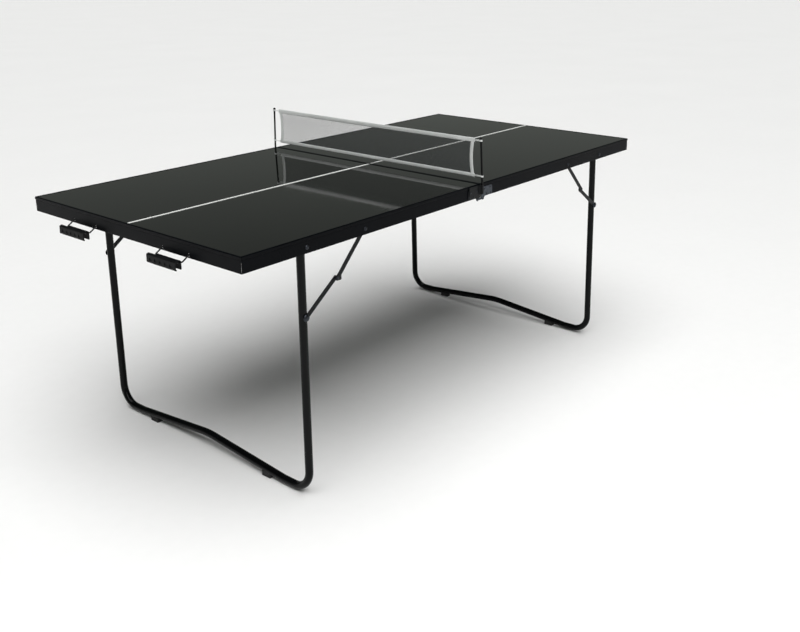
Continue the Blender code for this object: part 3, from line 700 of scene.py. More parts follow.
# ---------------------------------------------------------------- the table's shared places
@dataclass(frozen=True)
class Sizes:
    """Sizes and places that several sub-assemblies share, in metres."""

    top: float = 0.732
    half_width: float = 0.4575
    half_start: float = 0.00015
    half_end: float = 0.915
    frame_depth: float = 0.043
    gap: float = 0.0003
    apron_outer: float = 0.0010
    apron_inner: float = 0.0025
    lip: float = 0.0050
    leg_pivot_x: float = 0.709
    pivot_z: float = 0.705
    leg_span: float = 0.431
    leg_radius: float = 0.011
    splay: float = math.radians(0.6)
    brace_pivot_x: float = 0.500
    brace_on_leg: float = 0.190
    upper_layer: float = 0.4503
    lower_layer: float = 0.4423
    link_thickness: float = 0.0020
    bail_x: float = 0.91325
    bail_y: float = 0.203
    bail_z: float = 0.697
    post_y: float = 0.4651

    @property
    def apron_outer_y(self) -> float:
        """The outer face of the side aprons."""
        return self.half_width - self.apron_outer

    @property
    def apron_inner_y(self) -> float:
        """The inner face of the side aprons."""
        return self.half_width - self.apron_inner

    @property
    def bracket_face(self) -> float:
        """The outer face of the hinge brackets."""
        return self.apron_outer_y + self.gap + 0.0018

    def leg_matrix(self, half: Half) -> Matrix:
        """Return the leg's own frame: its origin on the pivot axis and its -Z down the tube."""
        turn = Matrix.Rotation(-half.side * self.splay, 4, "Y")
        return Matrix.Translation((half.side * self.leg_pivot_x, 0, self.pivot_z)) @ turn

    def outward(self, edge: Edge, x: float, z: float) -> Matrix:
        """Return the frame of a fastener on a side: its +Z points out and its origin lies at Y 0."""
        return Matrix.Translation((x, 0, z)) @ Matrix.Rotation(math.radians(-90 * edge.side), 4, "X")


SIZES = Sizes()


@dataclass
class TableHalf:
    """The frame of one half: mitred rails, two gloss boards, the white strip and their fasteners."""

    half: Half
    board_thickness: float = 0.0120
    board_recess: float = 0.0010
    board_rounding: float = 0.0004
    ledge_depth: float = 0.0133
    ledge_thickness: float = 0.0015
    ledge_reach: float = 0.0140
    strip_web: float = 0.0015
    slot_size: tuple[float, float] = (0.0048, 0.0074)
    bail_half_width: float = 0.054
    screw_pitch: float = 0.150
    first_screw: float = 0.080
    screw_line: float = 0.0098
    key_length: float = 0.030
    key_width: float = 0.0090
    key_thickness: float = 0.0012

    @property
    def ledge_foot(self) -> float:
        """The height of the ledges' underside."""
        return SIZES.top - self.ledge_depth - self.ledge_thickness

    def rail_section(self) -> list[tuple[float, float]]:
        """Return the rail's section, with a rolled lip, a shadow groove and a thin apron."""
        foot = -self.ledge_depth - self.ledge_thickness
        outer, inner, deep = SIZES.apron_outer, SIZES.apron_inner, SIZES.frame_depth
        return [
            *arc((0.0022, -0.0022), 0.0022, 180, 90, 8),
            *arc((SIZES.lip - 0.0006, -0.0006), 0.0006, 90, 0, 3),
            (SIZES.lip, -self.ledge_depth),
            *arc((self.ledge_reach - 0.0004, -self.ledge_depth - 0.0004), 0.0004, 90, 0, 2),
            (self.ledge_reach, foot), (inner, foot),
            (inner, -deep + 0.0002), (inner - 0.0003, -deep), (outer + 0.0003, -deep),
            (outer, -deep + 0.0003), (outer, -0.0098), (outer + 0.0003, -0.0094),
            (outer + 0.0003, -0.0086), (0.0004, -0.0082), (0.0, -0.0076),
        ]

    def rail(self, length: float, middle: Point, inward: Point) -> Shape:
        """Extrude a rail and mitre both of its ends.

        Args:
            length: its length along its outer face.
            middle: the middle of its outer top edge.
            inward: the direction from its outer face into the frame.

        Returns:
            The shape.
        """
        shape = plate(self.rail_section(), length - 2 * SIZES.gap, Matrix.Identity(4))
        for vertex in shape.verts:
            vertex.co.z -= math.copysign(vertex.co.x, vertex.co.z)
        return moved(shape, axes(inward, (0, 0, 1), Vector(inward).cross((0, 0, 1)), middle))

    def end_slots(self) -> Shape:
        """Return the round-cornered slots that the bails' arms pass through."""
        size = Vector((0.006, *self.slot_size)) / 2
        cutters = []
        for edge in Edge:
            for arm in (-1, 1):
                y = edge.side * SIZES.bail_y + arm * self.bail_half_width
                place = Vector((self.half.side * SIZES.bail_x, y, SIZES.bail_z))
                cutters.append(block(place - size, place + size, 0.0008))
        return merged(cutters)

    def build_rails(self) -> None:
        """Make the four rails, mitred at the corners."""
        side = self.half.side
        span = SIZES.half_end - SIZES.half_start
        for edge in Edge:
            middle = (side * (SIZES.half_start + span / 2), edge.side * SIZES.half_width, SIZES.top)
            shape = self.rail(span, middle, (0, -edge.side, 0))
            self.dress(f"{edge.word}_rail", shape, BLACK_EXTRUSION[Axis.X], "black_aluminium")
        width = 2 * SIZES.half_width
        outer = self.rail(width, (side * SIZES.half_end, 0, SIZES.top), (-side, 0, 0))
        outer = carved(outer, self.end_slots())
        self.dress("end_rail", outer, BLACK_EXTRUSION[Axis.Y], "black_aluminium")
        inner = self.rail(width, (side * SIZES.half_start, 0, SIZES.top), (side, 0, 0))
        self.dress("middle_rail", inner, BLACK_EXTRUSION[Axis.Y], "black_aluminium")

    def dress(
        self, node: str, shape: Shape, finish: Finish, slot: str
    ) -> bpy.types.Object:
        """Finish a piece that stands for one plain solid of this half."""
        node = f"{node}_{self.half.letter}"
        return finish_piece(f"{node}_finished", shape, finish, self.half.body, [node], slot)

    def build_boards(self) -> None:
        """Make the two boards, gloss above and satin below, with eased edges."""
        inset = SIZES.lip + SIZES.gap
        near, far = sorted((
            self.half.side * (SIZES.half_start + inset), self.half.side * (SIZES.half_end - inset),
        ))
        top = SIZES.top - self.board_recess
        for edge in Edge:
            rims = sorted((
                edge.side * (self.strip_web / 2 + SIZES.gap), edge.side * (SIZES.half_width - inset),
            ))
            low = (near, rims[0], top - self.board_thickness)
            shape = block(low, (far, rims[1], top), self.board_rounding)
            piece = self.dress(f"{edge.word}_board", shape, GLOSS_LAMINATE, "gloss_board")
            piece.data.materials.append(SATIN_LAMINATE.material())
            for face in piece.data.polygons:
                face.material_index = int(face.normal.z < -0.5)

    def screw(self) -> Shape:
        """Return one pan-head screw that hangs head down from its origin, with a cross recess."""
        head = turned(
            [(0.0, -0.0021), (0.0016, -0.0020), (0.0027, -0.0014), (0.0032, -0.0005), (0.0032, 0.0),
             (0.0, 0.0)], Matrix.Identity(4), 12,
        )
        arms = [
            block((-0.0018, -0.0003, -0.0030), (0.0018, 0.0003, -0.0012)),
            block((-0.0003, -0.0018, -0.0030), (0.0003, 0.0018, -0.0012)),
        ]
        return carved(head, carved(arms[0], arms[1], "UNION"))

    def screw_places(self) -> list[Vector]:
        """Return the places of the screws that hold the boards to the ledges from below."""
        z, side = self.ledge_foot - 0.0001, self.half.side
        line, pitch = self.screw_line, self.screw_pitch
        along = [self.first_screw + pitch * step for step in range(6)]
        rims = [e.side * (SIZES.half_width - line) for e in Edge]
        places = [Vector((side * x, y, z)) for x in along for y in rims]
        for x in (SIZES.half_start + line, SIZES.half_end - line):
            places += [Vector((side * x, (step + 0.5) * pitch, z)) for step in range(-3, 3)]
        return places

    def build_fasteners(self) -> None:
        """Make the board screws and the angle keys that pull the mitres together."""
        letter, body = self.half.letter, self.half.body
        rng = random.Random(7)
        screws = repeated(self.screw(), [
            Matrix.Translation(place) @ Matrix.Rotation(rng.uniform(0, math.pi / 2), 4, "Z")
            for place in self.screw_places()
        ])
        finish_piece(f"board_screws_{letter}", screws, BRIGHT_ZINC, body, slot="dark_zinc")
        keys = [
            self.corner_key(x, way, edge)
            for x, way in ((SIZES.half_start, 1), (SIZES.half_end, -1)) for edge in Edge
        ]
        finish_piece(f"corner_keys_{letter}", merged(keys), GREY_ZINC, body, slot="dark_zinc")

    def corner_key(self, x: float, way: int, edge: Edge) -> Shape:
        """Stamp one angle key that lies under the ledges of a corner.

        Args:
            x: the corner's distance from the middle of the table.
            way: 1 where the frame lies further out than the corner, and -1 where it lies nearer.
            edge: the edge that the corner is on.

        Returns:
            The shape.
        """
        long, wide, start = self.key_length, self.key_width, SIZES.apron_inner + 0.0006
        notch = start + wide + 0.002
        corner = [
            (start, start), (start + long, start), (start + long, start + wide), (notch, start + wide),
            (start + wide, notch), (start + wide, start + long), (start, start + long),
        ]
        outline = [
            (self.half.side * (x + way * a), edge.side * (SIZES.half_width - b)) for a, b in corner
        ]
        middle = Matrix.Translation((0, 0, self.ledge_foot - 0.0008))
        return plate(outline, self.key_thickness, middle, 0.0002)

    def build_pins(self) -> None:
        """Make the leg pins and brace rivets that pass through the side aprons."""
        seat = SIZES.apron_outer_y + SIZES.gap
        inside = SIZES.apron_inner_y - SIZES.gap
        tube_side = SIZES.leg_span + SIZES.leg_radius + SIZES.gap
        tail = SIZES.leg_span + 0.0078
        leg_pin = [
            (0.0, seat + 0.0030), (0.0016, seat + 0.0030), (0.0021, seat + 0.0034),
            (0.0034, seat + 0.0031), (0.0050, seat + 0.0023), (0.0060, seat + 0.0011),
            (0.0062, seat + 0.0003), (0.0062, seat), (0.0030, seat), (0.0030, inside),
            (0.0052, inside), (0.0052, tube_side), (0.0030, tube_side), (0.0030, tail),
            (0.0048, tail), (0.0044, tail - 0.0022), (0.0030, tail - 0.0032), (0.0, tail - 0.0034),
        ]
        link_in = SIZES.upper_layer - SIZES.gap
        link_out = SIZES.upper_layer + SIZES.link_thickness + SIZES.gap
        rivet = [
            (0.0, seat + 0.0020), (0.0012, seat + 0.0021), (0.0018, seat + 0.0024),
            (0.0035, seat + 0.0020), (0.0051, seat + 0.0011), (0.0055, seat + 0.0003),
            (0.0055, seat), (0.0027, seat), (0.0027, inside), (0.0062, inside), (0.0062, link_out),
            (0.0027, link_out), (0.0027, link_in), (0.0047, link_in), (0.0044, link_in - 0.0008),
            (0.0030, link_in - 0.0012), (0.0, link_in - 0.0012),
        ]
        for edge in Edge:
            for node, x, profile in (
                ("leg_pin", SIZES.leg_pivot_x, leg_pin),
                ("brace_rivet", SIZES.brace_pivot_x, rivet),
            ):
                shape = turned(profile, SIZES.outward(edge, self.half.side * x, SIZES.pivot_z), 28)
                self.dress(f"{node}_{edge.word}", shape, DARK_ZINC, "dark_zinc")

    def build(self, nodes: dict[str, bpy.types.Object]) -> None:
        """Make everything of this half's frame.

        Args:
            nodes: the plain solids by name, of which the white strip is kept and dressed.
        """
        self.build_rails()
        self.build_boards()
        self.build_fasteners()
        self.build_pins()
        cover(nodes[f"centre_strip_{self.half.letter}"], WHITE_VINYL)


def cover(node: bpy.types.Object, finish: Finish) -> None:
    """Give a kept plain solid a finish, in every one of its material slots."""
    for slot in node.material_slots:
        slot.material = finish.material()
    LOG.info("%s keeps its shape and takes %s", node.name, finish.name)


@dataclass
class FoldingLeg:
    """One bent tube leg with its plugs, foot pads and brace studs."""

    half: Half
    stub: float = 0.0070
    bend: float = 0.060
    low_run: float = 0.0150
    low_end: float = 0.330
    middle_height: float = 0.0450
    hump_radius: float = 0.300
    pad_y: float = 0.262
    pad_size: tuple[float, float, float] = (0.020, 0.034, 0.0165)
    groove: tuple[float, float] = (0.0010, 0.0016)
    groove_pitch: float = 0.0055
    stud_radius: float = 0.0100

    @property
    def body(self) -> str:
        """The moving body of this leg."""
        return f"leg_{self.half.letter}"

    def route(self, steps: int = 14) -> list[Vector]:
        """Return the tube's middle line in the leg's frame, with its raised middle."""
        floor, y = -SIZES.pivot_z, SIZES.leg_span
        low, hump, run = floor + self.low_run, floor + self.middle_height, self.low_end
        down = rounded_route([(0, -y, self.stub), (0, -y, low), (0, -run, low)], self.bend, steps)
        slope = rounded_route(
            [(0, -run, low), (0, 0, hump), (0, run, low)], self.hump_radius, steps // 2
        )
        return down + slope[1:-1] + [Vector((0, -point.y, point.z)) for point in reversed(down)]

    def pad(self, edge: Edge, matrix: Matrix) -> Shape:
        """Mould a foot pad: a grooved block that cradles the tube.

        Args:
            edge: the edge that it is nearer to.
            matrix: the leg's frame.

        Returns:
            The shape.
        """
        wide, long, tall = self.pad_size
        foot_x = self.half.side * (SIZES.leg_pivot_x + SIZES.pivot_z * math.tan(SIZES.splay))
        middle = edge.side * self.pad_y
        low = (foot_x - wide / 2, middle - long / 2, 0.0)
        shape = block(low, (foot_x + wide / 2, middle + long / 2, tall), 0.0016, 3)
        deep, across = self.groove[0] / 2, self.groove[1] / 2
        for step in range(-2, 3):
            y = middle + step * self.groove_pitch
            for x in (foot_x - wide / 2, foot_x + wide / 2):
                groove = block((x - deep, y - across, 0.0030), (x + deep, y + across, tall - 0.0035))
                shape = carved(shape, groove)
        return carved(shape, moved(swept(self.route(), SIZES.leg_radius + SIZES.gap, 28), matrix))

    def stud(self, edge: Edge, matrix: Matrix) -> Shape:
        """Turn a domed stud that a lower brace link turns on.

        Args:
            edge: the edge that it is nearer to.
            matrix: the leg's frame.

        Returns:
            The shape.
        """
        place = matrix @ Vector((0, 0, -SIZES.brace_on_leg))
        seat = SIZES.lower_layer + SIZES.link_thickness + SIZES.gap
        tip, top = SIZES.leg_span + 0.0060, 0.0049
        angles = [math.radians(degrees) for degrees in (75, 60, 45, 30, 15, 5)]
        dome = [(self.stud_radius * math.cos(a), seat + top * math.sin(a)) for a in angles]
        profile = [
            (0.0, seat + top), *dome, (self.stud_radius, seat), (0.0027, seat), (0.0027, tip),
            (0.0, tip),
        ]
        return turned(profile, SIZES.outward(edge, place.x, place.z), 32)

    def build(self) -> None:
        """Make the tube, its end plugs, the pads it stands on and the brace studs."""
        letter, matrix, end = self.half.letter, SIZES.leg_matrix(self.half), self.stub
        node = f"leg_tube_{letter}"
        tube = moved(swept(self.route(), SIZES.leg_radius, 28), matrix)
        finish_piece(f"{node}_bent", tube, BLACK_ENAMEL, self.body, [node], "black_steel")
        profile = [
            (0.0, end + 0.0021), (0.0050, end + 0.0019), (0.0085, end + 0.0012),
            (0.0104, end + 0.0002), (0.0104, end + 0.00005), (0.0, end + 0.00005),
        ]
        ends = [matrix @ Matrix.Translation((0, e.side * SIZES.leg_span, 0)) for e in Edge]
        plugs = merged([turned(profile, place, 24) for place in ends])
        finish_piece(f"tube_plugs_{letter}", plugs, MOULDED_BLACK, self.body, slot="black_plastic")
        for node, past, make, finish, slot in (
            ("foot_pad", "moulded", self.pad, PAD_RUBBER, "black_plastic"),
            ("brace_stud", "domed", self.stud, DARK_ZINC, "dark_zinc"),
        ):
            for edge in Edge:
                solid = f"{node}_{edge.word}_{letter}"
                finish_piece(
                    f"{solid}_{past}", make(edge, matrix), finish, self.body, [solid], slot
                )


@dataclass
class KneeBraces:
    """The front and rear knee braces of a half: two stamped links each, with a knee rivet."""

    half: Half
    over_centre: float = 0.0011
    width: float = 0.0130
    eye_radius: float = 0.0030
    lug_start: float = 0.014
    lug_back: float = 0.005
    lug_offset: float = 0.0090
    lug_radius: float = 0.0045
    rounding: float = 0.0004

    def points(self) -> tuple[Vector, Vector, Vector]:
        """Return the rail pivot, the knee and the leg pivot as points of the XZ plane."""
        side, on_leg = self.half.side, SIZES.brace_on_leg
        top = Vector((side * SIZES.brace_pivot_x, SIZES.pivot_z))
        place = SIZES.leg_matrix(self.half) @ Vector((0, 0, -on_leg))
        bottom = Vector((place.x, place.z))
        spread = SIZES.leg_pivot_x - SIZES.brace_pivot_x
        total = (bottom - top).length + self.over_centre
        upper, lower = (total + spread - on_leg) / 2, (total - spread + on_leg) / 2
        between = bottom - top
        along = (upper**2 - lower**2 + between.length_squared) / (2 * between.length)
        way = between.normalized()
        downward = Vector((-side * abs(way.y), -abs(way.x)))
        return top, top + way * along + downward * math.sqrt(upper**2 - along**2), bottom

    def link(
        self, start: Vector, finish: Vector, layer: float, edge: Edge, lug: int = 0
    ) -> Shape:
        """Stamp a link between two points, with round ends and, if asked, a stop lug.

        Args:
            start: its first pivot.
            finish: its last pivot.
            layer: its inner face's distance from the middle plane.
            edge: the edge of the table that it lies at.
            lug: the side that its stop lug stands on, or 0 for none.

        Returns:
            The shape.
        """
        span, half_wide = finish - start, self.width / 2
        length = span.length
        outline = [*arc((0, 0), half_wide, 90, 270, 16)]
        if lug:
            outline += [(length - self.lug_start, -half_wide)]
            lug_middle = (length - self.lug_back, -self.lug_offset)
            outline += arc(lug_middle, self.lug_radius, 200, 340, 8)
        outline += arc((length, 0), half_wide, -40 if lug else -90, 90, 16)
        if lug < 0:
            outline = [(x, -y) for x, y in reversed(outline)]
        right, out = Vector((span.x, 0, span.y)).normalized(), Vector((0, 1, 0))
        thickness = SIZES.link_thickness
        middle = edge.side * (layer + thickness / 2)
        place = axes(right, out.cross(right), out, (start.x, middle, start.y))
        eyes = [arc((x, 0), self.eye_radius, 0, 337.5, 15) for x in (0.0, length)]
        return plate(outline, thickness, place, self.rounding, eyes)

    def build(self) -> None:
        """Make both braces, each link riding on its own body."""
        letter, (top, knee, bottom) = self.half.letter, self.points()
        outer = SIZES.upper_layer + SIZES.link_thickness + SIZES.gap
        inner = SIZES.upper_layer - SIZES.gap
        knuckle = SIZES.lower_layer + SIZES.link_thickness + SIZES.gap
        profile = [
            (0.0, outer + 0.0012), (0.0018, outer + 0.0013), (0.0036, outer + 0.0010),
            (0.0049, outer + 0.0004), (0.0052, outer), (0.0026, outer), (0.0026, inner),
            (0.0045, inner), (0.0045, knuckle), (0.0, knuckle),
        ]
        for edge in Edge:
            upper = self.link(top, knee, SIZES.upper_layer, edge, -self.half.side)
            lower = self.link(knee, bottom, SIZES.lower_layer, edge)
            rivet = turned(profile, SIZES.outward(edge, knee.x, knee.y), 24)
            for kind, shape, finish, bodies, slot in (
                ("upper_link", upper, BLACK_PLATE, "upper_links", "black_steel"),
                ("lower_link", lower, BLACK_PLATE, "lower_links", "black_steel"),
                ("knee_rivet", rivet, DARK_ZINC, "upper_links", "dark_zinc"),
            ):
                node, body = f"{kind}_{edge.word}_{letter}", f"{bodies}_{letter}"
                finish_piece(f"{node}_finished", shape, finish, body, [node], slot)


@dataclass
class MiddleHinge:
    """The double-pivot hinge on both side aprons, with the net's post sockets on one half."""

    half_spacing: float = 0.0135
    drop: float = 0.0040
    ear: float = 0.0052
    near: float = 0.0040
    length: float = 0.056
    thickness: float = 0.0018
    top_depth: float = 0.0125
    socket_bore: float = 0.0033
    socket_radius: float = 0.0048
    socket_height: float = 0.028
    strap: float = 0.0014
    high_rivets: tuple[tuple[float, float], ...] = ((0.0200, 0.0200), (0.0500, 0.0200))
    low_rivets: tuple[tuple[float, float], ...] = ((0.0320, 0.0365), (0.0520, 0.0365))

    @property
    def pin_z(self) -> float:
        """The height of the hinge pins."""
        return SIZES.top - SIZES.frame_depth - self.drop

    def bracket(self, half: Half, edge: Edge) -> Shape:
        """Stamp a bracket whose ear holds a hinge pin.

        Args:
            half: the half it is riveted to.
            edge: the edge it lies at.

        Returns:
            The shape.
        """
        near, far = self.near, self.near + self.length
        top, foot = -self.top_depth, -SIZES.frame_depth
        pin = (self.half_spacing, foot - self.drop)
        outline = [
            (far - 0.003, top), (near + 0.002, top), (near, top - 0.002), (near, foot + 0.004),
            *arc(pin, self.ear, 170, 370, 22), (pin[0] + self.ear + 0.005, foot + 0.001),
            (far - 0.002, foot + 0.001), (far, foot + 0.003), (far, top - 0.003),
        ]
        outline, hole = (
            [(half.side * x, y) for x, y in ring] for ring in (outline, arc(pin, 0.0027, 0, 337.5, 15))
        )
        middle = edge.side * (SIZES.bracket_face - self.thickness / 2)
        place = axes((1, 0, 0), (0, 0, 1), (0, -1, 0), (0, middle, SIZES.top))
        return plate(outline, self.thickness, place, 0.0003, [hole])

    def socket(self, edge: Edge) -> Shape:
        """Make a post socket and the strap that it is rolled from.

        Args:
            edge: the edge it lies at.

        Returns:
            The shape.
        """
        face = -self.socket_radius
        back = face - self.strap
        outline = [
            *arc((0, 0), self.socket_radius, -60, 200, 26), (-0.0080, face), (-self.length, face),
            (-self.length, back), (-self.near - 0.004, back), (-self.near - 0.002, face - 0.0010),
            (self.socket_radius * 0.5, face - 0.0010),
        ]
        outline, bore = (
            [(x, edge.side * y) for x, y in ring]
            for ring in (outline, arc((0, 0), self.socket_bore, 0, 345, 23))
        )
        z = SIZES.top - 0.0030 - self.socket_height / 2
        place = Matrix.Translation((0, edge.side * SIZES.post_y, z))
        return plate(outline, self.socket_height, place, 0.0002, [bore])

    def rivets(self, half: Half, edge: Edge) -> Shape:
        """Make the round heads of the rivets that hold a bracket.

        Args:
            half: the half it is riveted to.
            edge: the edge it lies at.

        Returns:
            The shape.
        """
        strap_face = SIZES.post_y - self.socket_radius
        high_seat = strap_face if half is Half.A else SIZES.bracket_face
        heads = []
        for places, face in ((self.high_rivets, high_seat), (self.low_rivets, SIZES.bracket_face)):
            seat = face + 0.00005
            profile = [
                (0.0, seat + 0.0014), (0.0014, seat + 0.0013), (0.0025, seat + 0.0008),
                (0.0031, seat + 0.0002), (0.0031, seat), (0.0, seat),
            ]
            for x, drop in places:
                place = SIZES.outward(edge, half.side * x, SIZES.top - drop)
                heads.append(turned(profile, place, 16))
        return merged(heads)

    def link(self, edge: Edge) -> Shape:
        """Make a link plate with the two pins that are riveted in it.

        Args:
            edge: the edge it lies at.

        Returns:
            The shape.
        """
        spacing, radius = self.half_spacing, self.drop - SIZES.gap
        outline = arc((-spacing, 0), radius, 90, 270, 16) + arc((spacing, 0), radius, -90, 90, 16)
        thickness = SIZES.apron_outer_y - SIZES.apron_inner_y
        middle = edge.side * (SIZES.apron_outer_y - thickness / 2)
        place = axes((1, 0, 0), (0, 0, 1), (0, -1, 0), (0, middle, self.pin_z))
        shape = plate(outline, thickness, place, 0.0002)
        seat, inner = SIZES.bracket_face + SIZES.gap, SIZES.apron_inner_y - 0.0010
        profile = [
            (0.0, seat + 0.0018), (0.0020, seat + 0.0016), (0.0034, seat + 0.0009),
            (0.0042, seat + 0.0001), (0.0042, seat), (0.0024, seat), (0.0024, inner), (0.0, inner),
        ]
        for half in Half:
            pin = turned(profile, SIZES.outward(edge, half.side * spacing, self.pin_z), 24)
            shape = carved(shape, pin, "UNION")
        return shape

    def build(self) -> None:
        """Make the brackets, sockets, rivets and links of both edges."""
        for edge in Edge:
            for half in Half:
                end, body = f"{edge.word}_{half.letter}", half.body
                node, shape = f"hinge_bracket_{end}", self.bracket(half, edge)
                finish = BLACK_PLATE if half is Half.A else GREY_ZINC
                finish_piece(f"{node}_stamped", shape, finish, body, [node], "black_steel")
                heads = self.rivets(half, edge)
                finish_piece(f"hinge_rivets_{end}", heads, DARK_ZINC, body, slot="dark_zinc")
            name, node = f"net_socket_{edge.word}", f"hinge_bracket_{edge.word}_a"
            finish_piece(name, self.socket(edge), BLACK_PLATE, Half.A.body, [node], "black_steel")
            node, shape = f"hinge_link_{edge.word}", self.link(edge)
            finish_piece(f"{node}_riveted", shape, GREY_ZINC, "hinge_links", [node], "black_steel")


@dataclass
class CarryingGear:
    """The wire bails at both ends, and the moulded clips that hang on two of them."""

    half_width: float = 0.054
    wire: float = 0.0020
    bend: float = 0.0060
    arm: float = 0.0605
    tip: float = 0.0090
    reach: tuple[float, float] = (0.0270, 0.0195)
    droop: tuple[float, float] = (math.radians(33.0), math.radians(20.0))
    clip_length: float = 0.118
    clip_shift: float = 0.013
    barrel: float = 0.0048
    bore: float = 0.0023
    outer: float = 0.0145
    grip_pitch: float = 0.0205
    grip_half_length: float = 0.0062

    def bail(self, half: Half, edge: Edge) -> Shape:
        """Bend a bail from wire, with turned tips behind the end rail.

        Args:
            half: the half it hangs on.
            edge: the edge that it is nearer to.

        Returns:
            The shape.
        """
        which = 0 if half is Half.A else 1
        reach, droop, wide = self.reach[which], self.droop[which], self.half_width
        inside = self.arm - reach
        corners = [
            (-inside, -wide + self.tip, 0), (-inside, -wide, 0), (reach, -wide, 0),
            (reach, wide, 0), (-inside, wide, 0), (-inside, wide - self.tip, 0),
        ]
        out = Vector((half.side * math.cos(droop), 0, -math.sin(droop)))
        origin = (half.side * SIZES.bail_x, edge.side * SIZES.bail_y, SIZES.bail_z)
        place = axes(out, (0, 1, 0), out.cross((0, 1, 0)), origin)
        return moved(swept(rounded_route(corners, self.bend, 8), self.wire, 16), place)

    def clip_section(self) -> list[tuple[float, float]]:
        """Return the clip's section: X outwards and Y up from the wire that it hangs on."""
        barrel = self.barrel
        return [
            (-barrel, -0.0170), *arc((0, 0), barrel, 180, 75, 14),
            (0.0080, 0.0042), (0.0120, 0.0030), (0.0133, 0.0019), (0.0138, 0.0004),
            (self.outer, -0.0160), (0.0142, -0.0182), (0.0132, -0.0196), (0.0120, -0.0203),
            (0.0108, -0.0202), (0.0097, -0.0194), (0.0092, -0.0180), (0.0112, -0.0158), (0.0108, -0.0040),
            (0.0104, -0.0020), (0.0092, -0.0008), (0.0066, 0.0002), *arc((0, 0), barrel, -20, -95, 8),
            (-0.0018, -0.0056), (-0.0018, -0.0150), (-0.0004, -0.0172), (-0.0014, -0.0192),
            (-0.0026, -0.0198), (-0.0034, -0.0196),
        ]

    def clip(self, edge: Edge) -> Shape:
        """Mould a clip: a C channel on a bored barrel, with finger grips sunk in its outer wall.

        Args:
            edge: the edge that its bail is nearer to.

        Returns:
            The shape.
        """
        side, centre = Half.A.side, edge.side * SIZES.bail_y
        x = side * (SIZES.bail_x + self.reach[0] * math.cos(self.droop[0]))
        z = SIZES.bail_z - self.reach[0] * math.sin(self.droop[0])
        place = axes((1, 0, 0), (0, 0, 1), (0, -1, 0), (x, centre + self.clip_shift, z))
        section = [(side * a, b) for a, b in self.clip_section()]
        bore = [(side * a, b) for a, b in arc((0, 0), self.bore, 0, 337.5, 15)]
        shape = plate(section, self.clip_length, place, 0.0004, [bore])
        past = centre + self.half_width - self.bend - 0.0025
        notch = block((x - 0.0062, past, z - 0.0066), (x + 0.0070, past + 0.060, z + 0.0090))
        shape = carved(shape, notch)
        for step in range(5):
            y = centre + self.clip_shift + (step - 2) * self.grip_pitch
            low = (x - 0.0180, y - self.grip_half_length, z - 0.0138)
            high = (x - 0.0127, y + self.grip_half_length, z - 0.0052)
            shape = carved(shape, block(low, high, 0.0010))
        return shape

    def build(self) -> None:
        """Make the four bails and the two clips."""
        for half in Half:
            for edge in Edge:
                node, wire = f"bail_{edge.word}_{half.letter}", self.bail(half, edge)
                finish_piece(f"{node}_bent", wire, BLACK_ENAMEL, node, [node], "black_steel")
        for edge in Edge:
            node, shape = f"clip_{edge.word}", self.clip(edge)
            finish_piece(f"{node}_moulded", shape, MOULDED_BLACK, node, [node], "black_plastic")


